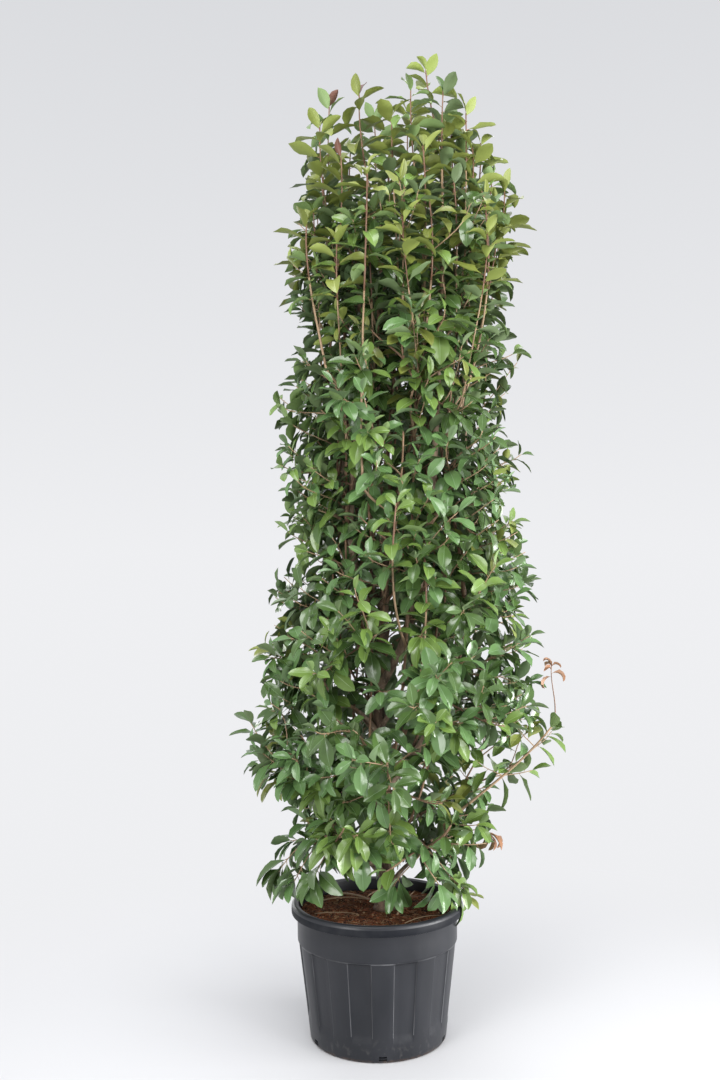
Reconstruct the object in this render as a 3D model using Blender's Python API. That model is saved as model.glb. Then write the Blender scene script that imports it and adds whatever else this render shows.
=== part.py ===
"""Columnar photinia shrub in a black nursery pot, built as an assembly of separate solids.

The pot stands on its flat underside at the origin, with +Z up and the shrub's fullest view towards -Y.
The trunk rises from the compost and leaders leave it for the top. Boughs leave it lower down, in tiers.
Each mass of foliage is one solid: a stem, the twigs that branch from it by a seeded rule, and their leaves.
"""

import math
import random

import bmesh
import bpy
from mathutils import Matrix, Vector
from mathutils.bvhtree import BVHTree
from mathutils.geometry import interpolate_bezier

for old in list(bpy.data.objects):
    bpy.data.objects.remove(old, do_unlink=True)

UP = Vector((0, 0, 1))
CLEARANCE = 0.0003

# Pot: a turned plastic shell with a rolled lip, a plain collar and pressed flutes
POT_HEIGHT = 0.400
LIP_RADIUS = 0.2625
LIP_DEPTH = 0.028
COLLAR_RADIUS = 0.2445
COLLAR_FOOT = 0.291
BASE_RADIUS = 0.206
PANEL_SPREAD = 0.1226
POT_WALL = 0.0035
FLOOR_THICKNESS = 0.0045
FLUTES = 11
FLUTE_DEPTH = 0.0045
FLUTE_LOW = 0.050
FLUTE_FADE = 0.030
FLUTE_RAMP = math.radians(2.2)
FLUTE_TURN = math.radians(-90 + 2.7)
DRAIN_PANELS = (0, 2, 4, 7, 9)
DRAIN_WIDTH = 0.023
DRAIN_HEIGHT = 0.012
DRAIN_SILL = 0.009
COMPOST_TOP = 0.372
COMPOST_EDGE = 0.366

# Trunk, leaders and boughs: sizes, then rises above the level in degrees at a limb's start and end
TRUNK_FOOT = (0.024, 0.0)
TRUNK_TOP = 2.22
TRUNK_RADIUS = 0.0235
TRUNK_TIP_RADIUS = 0.0080
FLARE = 0.014
FLARE_HEIGHT = 0.025
SWAY = 0.011
SWAY_TURNS = (7.5, 5.1)
TRUNK_RINGS = (0.0, 0.012, 0.030, 0.070)
TRUNK_STEPS = 14
TRUNK_SIDES = 10
LEADER_RADIUS = 0.0125
LEADER_TIP_RADIUS = 0.0070
BOUGH_RADIUS = 0.0085
BOUGH_TIP_RADIUS = 0.0055
STEM_TIP_RADIUS = 0.0045
TWIG_RADIUS = 0.0050
TWIG_TIP_RADIUS = 0.0042
LIMB_SIDES = 6
LEADER_RISES = (38, 84)
SKIRT_RISES = (44, 18)
BOUGH_RISES = (56, 30)
BOUGH_LENGTH = 0.136
TIP_STEM_RISES = (34, 60)
SIDE_STEM_RISES = (40, 66)
STEM_LENGTH = 0.17
CREST_STEM_LENGTH = 0.30
SIDE_STEM_START = 0.10
SIDE_STEM_CLIMB = 0.20
LEAST_HOLD = 0.12

# Crown outline, foot to top: height, middle across, half width
CROWN = (
    (0.38, -0.01, 0.33),
    (0.60, 0.01, 0.37),
    (0.90, 0.085, 0.570),
    (1.10, 0.09, 0.47),
    (1.40, 0.13, 0.43),
    (1.60, 0.08, 0.39),
    (1.87, 0.09, 0.42),
    (2.35, 0.11, 0.39),
    (2.55, 0.125, 0.41),
    (2.75, 0.115, 0.35),
    (2.95, 0.08, 0.26),
    (3.05, 0.10, 0.20),
    (3.08, 0.15, 0.10),
)

# Tiers of masses: name, height of the lower border at the trunk, turn of the first mass in degrees
TIERS = (
    ("skirt", 0.16, 45),
    ("low", 0.50, 0),
    ("waist", 0.80, 45),
    ("middle", 1.12, 0),
    ("chest", 1.44, 45),
    ("upper", 1.76, 0),
    ("crest", 2.10, 0),
)
SIDES = ("right", "back_right", "back", "back_left", "left", "front_left", "front", "front_right")
QUARTERS = 4
TIER_RISE = 0.5
TIER_WAVE = 0.07
MASS_REACH = 0.22
BOUGH_TIERS = {"skirt": 0.42, "low": 0.56, "waist": 0.84}
BOUGH_STAGGER = 0.025

# Leaders: name, height where it leaves the trunk, turn in degrees and distance out of its tip, its height
LEADERS = (
    ("right", 0.74, 12, 0.21, 2.18),
    ("back", 0.98, 92, 0.20, 2.22),
    ("front_right", 1.05, 304, 0.19, 2.20),
    ("front_left", 1.24, 218, 0.17, 2.16),
    ("back_left", 1.30, 155, 0.20, 2.14),
)

# Twigs end on golden spirals round the crown: count, lowest and highest end, distance inside the outline
OUTER_TWIGS = (77, 0.47, 2.50, 0.150)
INNER_TWIGS = (6, 0.85, 2.25, 0.290)
SHOOTS = 24
SHOOT_SPREAD = 0.33
SHOOT_INSET = 0.035
SHOOT_STEP_DOWN = 0.08
SHOOT_STEEPNESS = 0.9
TWIG_STEEPNESS = 0.45
GOLDEN_TURN = math.radians(137.508)

# Leaves are larger than life, because the crown has far fewer of them
LEAF_LENGTH = 0.205
LEAF_WIDTH = 0.104
SHOOT_LEAF_SHARE = 0.88
LEAF_SPREAD = (0.9, 1.08)
LEAF_SHRINK = 0.3
WIDEST = 0.56
LEAF_THICKNESS = 0.0040
LEAF_FOLD = 0.007
LEAF_ARCH = 0.004
ROOT_SUNK = 0.0010
TWIG_LEAVES = (0.40, 0.60, 0.78, 0.92, 1.0)
SHOOT_LEAVES = (0.36, 0.56, 0.74, 0.90, 1.0)
TWIG_DROOP = 0.55
DROOP_EASE = 0.25
SHOOT_DROOP = -0.35
OUTWARD = 0.35
TEST_SWELL = 0.0008
TRIES = 16
SEED = 41

# Joining: merge distance, and how much the twigs are swollen when a join has to be made again
WELD = 2e-6
SWELL_STEP = 0.00012
SWELL_LIMIT = 0.0003


def finish(name, colour, roughness):
    """Principled material of one colour for a sub-part."""
    material = bpy.data.materials.new(name)
    material.use_nodes = True
    shader = material.node_tree.nodes["Principled BSDF"]
    shader.inputs["Base Color"].default_value = (*colour, 1.0)
    shader.inputs["Roughness"].default_value = roughness
    return material


PLASTIC = finish("black_plastic", (0.030, 0.031, 0.034), 0.42)
PEAT = finish("compost", (0.050, 0.030, 0.020), 0.95)
BARK = finish("bark", (0.200, 0.150, 0.105), 0.85)
DEEP_LEAF = finish("deep_leaf", (0.045, 0.100, 0.040), 0.38)
YOUNG_LEAF = finish("young_leaf", (0.150, 0.240, 0.060), 0.42)


def place(name, mesh, material):
    """Puts a mesh in the scene as one named sub-part."""
    mesh.materials.clear()
    mesh.materials.append(material)
    obj = bpy.data.objects.new(name, mesh)
    bpy.context.scene.collection.objects.link(obj)
    return obj


def mesh_of(shape, name):
    """Turns an edit mesh into a mesh and frees it."""
    mesh = bpy.data.meshes.new(name)
    shape.to_mesh(mesh)
    shape.free()
    return mesh


def panel_radius(height):
    """Outer radius of the proud panels of the tapering body."""
    return BASE_RADIUS + PANEL_SPREAD * height


def pot_profile():
    """Outer wall from the middle of the underside up, over the lip, and down the inner wall to the floor."""
    lip_foot = POT_HEIGHT - LIP_DEPTH
    fade_top = FLUTE_LOW + FLUTE_FADE
    panel_top = COLLAR_FOOT - 0.008
    outer = [
        (0, 0),
        (BASE_RADIUS - 0.008, 0),
        (panel_radius(0.006), 0.006),
        (panel_radius(FLUTE_LOW), FLUTE_LOW),
        (panel_radius(fade_top), fade_top),
        (panel_radius(panel_top), panel_top),
        (COLLAR_RADIUS - 0.001, COLLAR_FOOT),
        (COLLAR_RADIUS, lip_foot - 0.006),
        (LIP_RADIUS - 0.004, lip_foot - 0.004),
        (LIP_RADIUS, lip_foot + 0.001),
        (LIP_RADIUS, POT_HEIGHT - 0.007),
        (LIP_RADIUS - 0.004, POT_HEIGHT - 0.001),
        (LIP_RADIUS - 0.010, POT_HEIGHT),
        (COLLAR_RADIUS - POT_WALL, POT_HEIGHT - 0.006),
    ]
    return outer + inner_profile(0.0)


def flute_share(height):
    """How far the recesses are pressed in at a height, from none to full."""
    if height > COLLAR_FOOT - 0.004:
        return 0.0
    return min(1.0, max(0.0, (height - FLUTE_LOW) / FLUTE_FADE))


def turned(name, profile, material, flute_depth=0.0):
    """Spins a profile round the pot's axis in six columns a flute, then presses in the recesses."""
    shape = bmesh.new()
    points = [shape.verts.new((radius, 0, height)) for radius, height in profile]
    edges = [shape.edges.new(pair) for pair in zip(points, points[1:])]
    columns = 6 * FLUTES
    bmesh.ops.spin(
        shape,
        geom=points + edges,
        cent=(0, 0, 0),
        axis=(0, 0, 1),
        dvec=(0, 0, 0),
        angle=math.tau,
        steps=columns,
        use_merge=True,
        use_duplicate=False,
    )
    bmesh.ops.remove_doubles(shape, verts=shape.verts, dist=1e-6)
    pitch = math.tau / FLUTES
    flat = pitch / 2 - FLUTE_RAMP
    recess = (FLUTE_RAMP, FLUTE_RAMP + flat / 2, FLUTE_RAMP + flat)
    stops = (0, *recess, pitch / 2 + FLUTE_RAMP, pitch - flat / 2)
    for vert in shape.verts:
        radius = math.hypot(vert.co.x, vert.co.y)
        if radius < 1e-5:
            continue
        column = round(math.atan2(vert.co.y, vert.co.x) * columns / math.tau) % columns
        flute, stop = divmod(column, 6)
        if stop in (1, 2, 3):
            radius -= flute_depth * flute_share(vert.co.z)
        angle = FLUTE_TURN + flat / 2 + flute * pitch + stops[stop]
        vert.co.x = radius * math.cos(angle)
        vert.co.y = radius * math.sin(angle)
    bmesh.ops.recalc_face_normals(shape, faces=shape.faces)
    obj = place(name, mesh_of(shape, name), material)
    obj.data.shade_smooth()
    obj.data.set_sharp_from_angle(angle=math.radians(30))
    return obj


def drain_cutter():
    """Blocks that cut the drain slots through the foot of every second proud panel."""
    shape = bmesh.new()
    for panel in DRAIN_PANELS:
        turn = Matrix.Rotation(FLUTE_TURN + panel * math.tau / FLUTES, 4, "Z")
        out = Matrix.Translation((BASE_RADIUS, 0, DRAIN_SILL + DRAIN_HEIGHT / 2))
        size = Matrix.Diagonal((0.012, DRAIN_WIDTH, DRAIN_HEIGHT, 1))
        bmesh.ops.create_cube(shape, size=1.0, matrix=turn @ out @ size)
    cutter = place("drain_cutter", mesh_of(shape, "drain_cutter"), PLASTIC)
    cutter.hide_render = True
    cutter.display_type = "WIRE"
    return cutter


def cut(obj, cutter):
    """Takes a cutter out of an object with a Boolean that stays on it."""
    boolean = obj.modifiers.new("cut", "BOOLEAN")
    boolean.operation = "DIFFERENCE"
    boolean.object = cutter


def inner_profile(gap):
    """Inner wall from the collar down inside the recesses to the middle of the floor, drawn in by a gap."""
    inset = POT_WALL + gap
    floor = FLOOR_THICKNESS + gap
    return [
        (COLLAR_RADIUS - 0.002 - inset, COMPOST_EDGE),
        (panel_radius(COLLAR_FOOT) - FLUTE_DEPTH - inset, COLLAR_FOOT),
        (panel_radius(floor) - FLUTE_DEPTH - inset, floor),
        (0, floor),
    ]


def compost_profile():
    """Compost from the middle of its top to the wall, then down the wall to the floor."""
    return [(0, COMPOST_TOP), (0.5 * COLLAR_RADIUS, COMPOST_TOP)] + inner_profile(CLEARANCE)


pot = turned("pot", pot_profile(), PLASTIC, FLUTE_DEPTH)
cut(pot, drain_cutter())
compost = turned("compost", compost_profile(), PEAT)


def direction(turn, rise):
    """Unit vector at a turn about the trunk and a rise above the level, both in degrees."""
    level = math.cos(math.radians(rise))
    return Vector(
        (
            level * math.cos(math.radians(turn)),
            level * math.sin(math.radians(turn)),
            math.sin(math.radians(rise)),
        )
    )


def tube(limb, swell=0.0):
    """Edit mesh of one closed tapering limb, swollen all round by a little."""
    path, radii, sides = limb["path"], limb["radii"], limb["sides"]
    between = [(after - before).normalized() for before, after in zip(path, path[2:])]
    headings = [limb["first"], *between, limb["last"]]
    extra = swell / math.cos(math.pi / sides)
    shape = bmesh.new()
    facing = UP.rotation_difference(headings[0]).to_matrix().to_4x4()
    bmesh.ops.create_circle(
        shape,
        cap_ends=True,
        segments=sides,
        radius=radii[0] + extra,
        matrix=Matrix.Translation(path[0]) @ facing,
    )
    cap = list(shape.faces)
    for step in range(1, len(path)):
        grown = bmesh.ops.extrude_face_region(shape, geom=cap)["geom"]
        if step > 1:
            bmesh.ops.delete(shape, geom=cap, context="FACES_ONLY")
        cap = [item for item in grown if isinstance(item, bmesh.types.BMFace)]
        ring = [item for item in grown if isinstance(item, bmesh.types.BMVert)]
        swing = headings[step - 1].rotation_difference(headings[step]).to_matrix().to_4x4()
        taper = Matrix.Scale((radii[step] + extra) / (radii[step - 1] + extra), 4)
        move = Matrix.Translation(path[step]) @ swing @ taper @ Matrix.Translation(-path[step - 1])
        bmesh.ops.transform(shape, matrix=move, verts=ring)
    bmesh.ops.recalc_face_normals(shape, faces=shape.faces)
    return shape


def limb(start, first, end, last, radius, tip_radius, points, sides):
    """One tapering limb that leaves its start in one direction and ends in another."""
    handle = (end - start).length / 3
    path = interpolate_bezier(start, start + first * handle, end - last * handle, end, points)
    radii = [radius + (tip_radius - radius) * step / (points - 1) for step in range(points)]
    return {"path": path, "radii": radii, "sides": sides, "first": first, "last": last}


def trunk_limb():
    """Trunk from its flared foot on the compost, with a slow sway, to its tip."""
    foot = COMPOST_TOP + CLEARANCE
    length = TRUNK_TOP - foot
    last_ring = TRUNK_RINGS[-1]
    rises = list(TRUNK_RINGS)
    rises += [last_ring + (length - last_ring) * step / TRUNK_STEPS for step in range(1, TRUNK_STEPS + 1)]
    path, radii = [], []
    for rise in rises:
        across = TRUNK_FOOT[0] + SWAY * math.sin(rise * SWAY_TURNS[0])
        deep = TRUNK_FOOT[1] + SWAY * math.sin(rise * SWAY_TURNS[1])
        path.append(Vector((across, deep, foot + rise)))
        taper = (TRUNK_TIP_RADIUS - TRUNK_RADIUS) * rise / length
        radii.append(TRUNK_RADIUS + taper + FLARE * math.exp(-rise / FLARE_HEIGHT))
    return {"path": path, "radii": radii, "sides": TRUNK_SIDES, "first": UP, "last": UP}


def at_height(branch, height):
    """Point on a limb's middle line at a height."""
    path = branch["path"]
    for low, high in zip(path, path[1:]):
        if low.z <= height <= high.z:
            return low.lerp(high, (height - low.z) / (high.z - low.z))
    return path[-1].copy()


def crown_at(height):
    """Middle across and half width of the crown at a height."""
    for low, high in zip(CROWN, CROWN[1:]):
        if height <= high[0]:
            share = max(0.0, (height - low[0]) / (high[0] - low[0]))
            return low[1] + (high[1] - low[1]) * share, low[2] + (high[2] - low[2]) * share
    return CROWN[-1][1], 0.0


def in_crown(point):
    """Whether a point lies inside the crown's outline."""
    middle, half = crown_at(point.z)
    return CROWN[0][0] <= point.z <= CROWN[-1][0] and math.hypot(point.x - middle, point.y) <= half


trunk = trunk_limb()
limbs = {"trunk": trunk}
UPRIGHTS = ["trunk", *("leader_" + row[0] for row in LEADERS)]
for name, height, turn, out, top in LEADERS:
    middle = crown_at(top)[0]
    end = direction(turn, 0) * out + Vector((middle, 0, top))
    start = at_height(trunk, height)
    first, last = (direction(turn, rise) for rise in LEADER_RISES)
    limbs["leader_" + name] = limb(
        start, first, end, last, LEADER_RADIUS, LEADER_TIP_RADIUS, 9, LIMB_SIDES
    )

masses = []
for tier, (tier_name, _, first_turn) in enumerate(TIERS[:-1]):
    for quarter in range(QUARTERS):
        turn = first_turn + quarter * 360 / QUARTERS
        name = tier_name + "_" + SIDES[round(turn / 45) % len(SIDES)]
        centre = direction(turn, 0) * MASS_REACH
        masses.append({"name": name, "tier": tier, "turn": turn, "centre": centre})
        if tier_name in BOUGH_TIERS:
            height = BOUGH_TIERS[tier_name] + BOUGH_STAGGER * quarter
            start = at_height(trunk, height)
            rises = SKIRT_RISES if tier_name == "skirt" else BOUGH_RISES
            first, last = (direction(turn, rise) for rise in rises)
            end = start + (first + last).normalized() * BOUGH_LENGTH
            limbs["bough_" + name] = limb(
                start, first, end, last, BOUGH_RADIUS, BOUGH_TIP_RADIUS, 5, LIMB_SIDES
            )
for name in UPRIGHTS:
    tip = limbs[name]["path"][-1]
    middle = crown_at(tip.z)[0]
    masses.append(
        {
            "name": "crest_" + name.removeprefix("leader_").replace("trunk", "middle"),
            "tier": len(TIERS) - 1,
            "centre": Vector((tip.x - middle, tip.y, 0)),
            "leader": name,
        }
    )


def mass_of(point):
    """The mass whose space holds a point: its tier by rising borders, then the nearest centre in plan."""
    middle, _ = crown_at(point.z)
    wave = TIER_WAVE * math.sin(2 * math.atan2(point.y, point.x - middle))
    level = point.z - TIER_RISE * math.hypot(point.x - middle, point.y) - wave
    tier = max((index for index, row in enumerate(TIERS) if row[1] <= level), default=None)
    if tier is None:
        return None
    spot = Vector((point.x - middle, point.y, 0))
    rivals = [mass for mass in masses if mass["tier"] == tier]
    return min(rivals, key=lambda mass: (mass["centre"] - spot).length)["name"]


def stem_of(mass):
    """Stem of a mass, growing on from a limb's tip or out of the side of the nearest upright limb."""
    tier_name, low, _ = TIERS[mass["tier"]]
    if tier_name == "crest":
        holder = limbs[mass["leader"]]
        start = holder["path"][-1] + holder["last"] * CLEARANCE
        end = start + (holder["last"] + UP).normalized() * CREST_STEM_LENGTH
        return limb(start, holder["last"], end, UP, holder["radii"][-1], STEM_TIP_RADIUS, 4, 5)
    turn = mass["turn"]
    if tier_name in BOUGH_TIERS:
        holder = limbs["bough_" + mass["name"]]
        start = holder["path"][-1] + holder["last"] * CLEARANCE
        out, last = (direction(turn, rise) for rise in TIP_STEM_RISES)
        end = start + out * STEM_LENGTH
        return limb(start, holder["last"], end, last, BOUGH_TIP_RADIUS, STEM_TIP_RADIUS, 4, 5)
    level = low + SIDE_STEM_START
    goal = mass["centre"] + Vector((crown_at(level)[0], 0, level + SIDE_STEM_CLIMB))
    uprights = [
        name
        for name in UPRIGHTS
        if limbs[name]["path"][0].z + LEAST_HOLD < level < limbs[name]["path"][-1].z
    ]
    parent = min(uprights, key=lambda name: (at_height(limbs[name], level) - goal).xy.length)
    start = at_height(limbs[parent], level)
    first, last = (direction(turn, rise) for rise in SIDE_STEM_RISES)
    return limb(start, first, goal, last, BOUGH_RADIUS, STEM_TIP_RADIUS, 4, 5)


def twig_ends():
    """Ends of the twigs on golden spirals round the crown, and of the tall shoots over its top."""
    ends = []
    for count, low, high, inset in (OUTER_TWIGS, INNER_TWIGS):
        for index in range(count):
            height = low + (high - low) * (index + 0.5) / count
            middle, half = crown_at(height)
            out = direction(math.degrees(index * GOLDEN_TURN), 0) * (half - inset)
            ends.append((Vector((middle, 0, height)) + out, False))
    for index in range(SHOOTS):
        share = math.sqrt((index + 0.5) / SHOOTS)
        out = direction(math.degrees(index * GOLDEN_TURN), 0) * SHOOT_SPREAD * share
        top = CROWN[-1][0]
        while crown_at(top)[1] < out.length:
            top -= SHOOT_INSET / 4
        top -= SHOOT_INSET + SHOOT_STEP_DOWN * (index % 3)
        ends.append((Vector((crown_at(top)[0], 0, top)) + out, True))
    return ends


def leaf_shape(root, heading, side, size, swell=0.0):
    """Edit mesh of one leaf of eight faces: a sunk root, a tip, folded margins and a thicker midrib."""
    face_up = heading.cross(side)
    length = LEAF_LENGTH * size + swell
    half_width = LEAF_WIDTH * size / 2 + swell
    shape = bmesh.new()
    bmesh.ops.create_uvsphere(shape, u_segments=4, v_segments=2, radius=1.0)
    for vert in shape.verts:
        across, through, along = vert.co
        if along < -0.5:
            spot = (0, 0, -ROOT_SUNK)
        elif along > 0.5:
            spot = (0, 0, length)
        elif abs(through) > 0.5:
            middle = LEAF_ARCH * size + through * (LEAF_THICKNESS / 2 + swell)
            spot = (0, middle, WIDEST * length)
        else:
            spot = (across * half_width, (LEAF_ARCH + LEAF_FOLD) * size, WIDEST * length)
        vert.co = root + side * spot[0] + face_up * spot[1] + heading * spot[2]
    return shape


def tree_of(shape):
    """Search tree of an edit mesh."""
    return BVHTree.FromBMesh(shape, epsilon=0.0)


def touches(shape, taken):
    """Whether an edit mesh meets any of the solids that are already in place."""
    own = tree_of(shape)
    return any(own.overlap(other) for other in taken)


def largest_body(shape):
    """Keeps the largest closed body of an edit mesh, which drops loose scraps and fills hollows."""
    left = set(shape.faces)
    bodies = []
    while left:
        body = [left.pop()]
        for face in body:
            for edge in face.edges:
                for other in edge.link_faces:
                    if other in left:
                        left.remove(other)
                        body.append(other)
        bodies.append(body)
    bodies.sort(key=lambda body: sum(face.calc_area() for face in body))
    scraps = [face for body in bodies[:-1] for face in body]
    bmesh.ops.delete(shape, geom=scraps, context="FACES")


def apply_booleans(obj):
    """Applies an object's Booleans, keeps its largest body, and says whether that is cleanly closed."""
    graph = bpy.context.evaluated_depsgraph_get()
    made = bpy.data.meshes.new_from_object(obj.evaluated_get(graph), depsgraph=graph)
    obj.modifiers.clear()
    obj.data = made
    shape = bmesh.new()
    shape.from_mesh(made)
    bmesh.ops.triangulate(shape, faces=shape.faces)
    bmesh.ops.remove_doubles(shape, verts=shape.verts, dist=WELD)
    largest_body(shape)
    closed = all(edge.is_manifold for edge in shape.edges)
    shape.to_mesh(made)
    shape.free()
    return closed


def fuse(name, stem, twigs, leaves, crossed, material):
    """Joins a stem, its twigs and its leaves by one union, and trims the root to the limbs it crosses."""
    swell = 0.0
    while True:
        obj = place(name, mesh_of(tube(stem, swell), "stem"), material)
        group = bpy.data.collections.new("pieces")
        bpy.context.scene.collection.children.link(group)
        meshes = [mesh_of(tube(twig, swell), "twig") for twig in twigs]
        meshes += [mesh_of(leaf_shape(*leaf), "leaf") for leaf in leaves]
        for mesh in meshes:
            group.objects.link(bpy.data.objects.new("piece", mesh))
        union = obj.modifiers.new("union", "BOOLEAN")
        union.operation = "UNION"
        union.operand_type = "COLLECTION"
        union.collection = group
        union.solver = "MANIFOLD"
        helpers = list(group.objects)
        for branch in crossed:
            trimmer = place("sleeve", mesh_of(tube(branch, CLEARANCE), "sleeve"), BARK)
            cut(obj, trimmer)
            helpers.append(trimmer)
        closed = apply_booleans(obj)
        for helper in helpers:
            bpy.data.objects.remove(helper, do_unlink=True)
        bpy.data.collections.remove(group)
        if closed:
            return obj
        bpy.data.objects.remove(obj, do_unlink=True)
        swell += SWELL_STEP
        if swell > SWELL_LIMIT:
            leaves = leaves[:-1]


def edit_copy(obj):
    """Edit mesh of an object's own mesh."""
    shape = bmesh.new()
    shape.from_mesh(obj.data)
    return shape


taken = [tree_of(edit_copy(pot)), tree_of(edit_copy(compost))]
for name, branch in limbs.items():
    mesh = mesh_of(tube(branch), name)
    obj = place(name, mesh, BARK)
    mesh.shade_smooth()
    mesh.set_sharp_from_angle(angle=math.radians(40))
    taken.append(tree_of(tube(branch, TEST_SWELL)))
    if name != "trunk":
        trimmer = place("sleeve", mesh_of(tube(trunk, CLEARANCE), "sleeve"), BARK)
        cut(obj, trimmer)
        apply_booleans(obj)
        bpy.data.objects.remove(trimmer, do_unlink=True)


def twig_limb(stem, end, upright, draw):
    """Twig that leaves the stem below its end and bends up or out to it."""
    low, high = stem["path"][0], stem["path"][-1]
    steepness = SHOOT_STEEPNESS if upright else TWIG_STEEPNESS
    height = end.z - steepness * (end - low).xy.length
    share = min(1.0, max(0.3, (height - low.z) / (high.z - low.z)))
    spot = share * (len(stem["path"]) - 1)
    index = min(int(spot), len(stem["path"]) - 2)
    start = stem["path"][index].lerp(stem["path"][index + 1], spot - index)
    if share == 1.0:
        start = start - stem["last"] * STEM_TIP_RADIUS
    heading = (end - start).normalized()
    first = (heading + 0.35 * stem["last"]).normalized()
    lift = UP * (0.5 if upright else draw.uniform(-0.15, 0.25))
    last = (heading + lift).normalized()
    return limb(start, first, end, last, TWIG_RADIUS, TWIG_TIP_RADIUS, 3 if upright else 2, 3)


def leaf_on(twig, share, turn, droop, middle):
    """Root, heading and side of a leaf at a share of a twig's length."""
    path = twig["path"]
    spot = share * (len(path) - 1)
    index = min(int(spot), len(path) - 2)
    root = path[index].lerp(path[index + 1], min(spot - index, 0.96))
    along = (path[index + 1] - path[index]).normalized()
    side = along.orthogonal().normalized()
    side.rotate(Matrix.Rotation(turn, 3, along))
    spread = 0.55 if share > 0.98 else 1.0
    outward = Vector((root.x - middle, root.y, 0)).normalized()
    heading = (0.55 * along + spread * side + OUTWARD * outward - droop * UP).normalized()
    return root, heading, (outward + UP).cross(heading).normalized()


ends = {}
for end, upright in twig_ends():
    ends.setdefault(mass_of(end), []).append((end, upright))

for mass in masses:
    mass["stem"] = stem_of(mass)
    mass["stem_tree"] = tree_of(tube(mass["stem"], TEST_SWELL))
    mass["crossed"] = [branch for branch in limbs.values() if touches(tube(branch), [mass["stem_tree"]])]

for number, mass in enumerate(masses):
    draw = random.Random(SEED + number)
    stem = mass["stem"]
    around = taken + [other["stem_tree"] for other in masses if other is not mass]
    wood = [(stem, False, mass["stem_tree"])]
    for end, upright in ends.get(mass["name"], []):
        twig = twig_limb(stem, end, upright, draw)
        shape = tube(twig)
        if not touches(shape, around):
            wood.append((twig, upright, tree_of(shape)))
    leaves, leaf_trees = [], []
    for twig, upright, _ in wood[1:]:
        top = twig["path"][-1]
        middle = crown_at(top.z)[0]
        turn = draw.uniform(0, math.tau)
        droop = SHOOT_DROOP if upright else TWIG_DROOP - DROOP_EASE * top.z
        others = around + [tree for branch, _, tree in wood if branch is not twig]
        for share in SHOOT_LEAVES if upright else TWIG_LEAVES:
            size = SHOOT_LEAF_SHARE if upright else draw.uniform(*LEAF_SPREAD)
            for attempt in range(TRIES):
                turn += GOLDEN_TURN
                root, heading, side = leaf_on(twig, share, turn, droop, middle)
                leaf = (root, heading, side, size * (1 - LEAF_SHRINK * attempt / TRIES))
                test = leaf_shape(*leaf, TEST_SWELL)
                inside = all(mass_of(vert.co) == mass["name"] and in_crown(vert.co) for vert in test.verts)
                if inside and not touches(test, others + leaf_trees):
                    leaves.append(leaf)
                    leaf_trees.append(tree_of(test))
                    break
    twigs = [branch for branch, _, _ in wood[1:]]
    material = YOUNG_LEAF if mass["tier"] >= len(TIERS) - 2 else DEEP_LEAF
    obj = fuse("foliage_" + mass["name"], stem, twigs, leaves, mass["crossed"], material)
    taken.append(tree_of(edit_copy(obj)))
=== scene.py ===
"""Photinia column in its black nursery pot, dressed over the solids of the part.

The pot comes first, then the peat in it, then the wood from the trunk outward, and the leaves last.
Lengths are in metres, with the pot's underside on the floor and the fullest side of the plant at -Y.
"""

import math
import random
from collections import namedtuple

import bmesh
import bpy
from mathutils import Matrix, Vector, noise
from mathutils.geometry import interpolate_bezier


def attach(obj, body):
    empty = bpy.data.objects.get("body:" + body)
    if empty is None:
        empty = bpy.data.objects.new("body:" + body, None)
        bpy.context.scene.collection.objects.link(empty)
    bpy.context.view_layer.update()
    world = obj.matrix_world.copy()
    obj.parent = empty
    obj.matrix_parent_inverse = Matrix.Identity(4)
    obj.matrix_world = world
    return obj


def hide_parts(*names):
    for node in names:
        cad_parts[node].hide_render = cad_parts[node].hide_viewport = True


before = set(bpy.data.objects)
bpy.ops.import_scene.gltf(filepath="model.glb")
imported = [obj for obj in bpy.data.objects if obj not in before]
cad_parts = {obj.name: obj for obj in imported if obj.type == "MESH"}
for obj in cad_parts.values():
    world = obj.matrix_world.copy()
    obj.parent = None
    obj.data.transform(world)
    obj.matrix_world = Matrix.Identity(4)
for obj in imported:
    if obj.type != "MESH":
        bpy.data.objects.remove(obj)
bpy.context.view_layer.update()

# Camera: about three metres in front of the pot at chest height, tipped up a little to take in the
# tallest shoots, with the slight roll of a hand-levelled tripod.
CAMERA_PLACE = (-0.0414, -3.119, 1.317)
CAMERA_TILT = math.radians(93.49)
CAMERA_ROLL = math.radians(-0.56)


def placed(name, data):
    """A new object with its data, linked to the scene."""
    obj = bpy.data.objects.new(name, data)
    bpy.context.scene.collection.objects.link(obj)
    return obj


camera_optics = bpy.data.cameras.new("camera")
camera_optics.lens = 33.12
camera_optics.sensor_width = 36.0
camera = placed("camera", camera_optics)
camera_turn = Matrix.Rotation(CAMERA_TILT, 4, "X") @ Matrix.Rotation(CAMERA_ROLL, 4, "Z")
camera.matrix_world = Matrix.Translation(CAMERA_PLACE) @ camera_turn
bpy.context.scene.camera = camera

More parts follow.
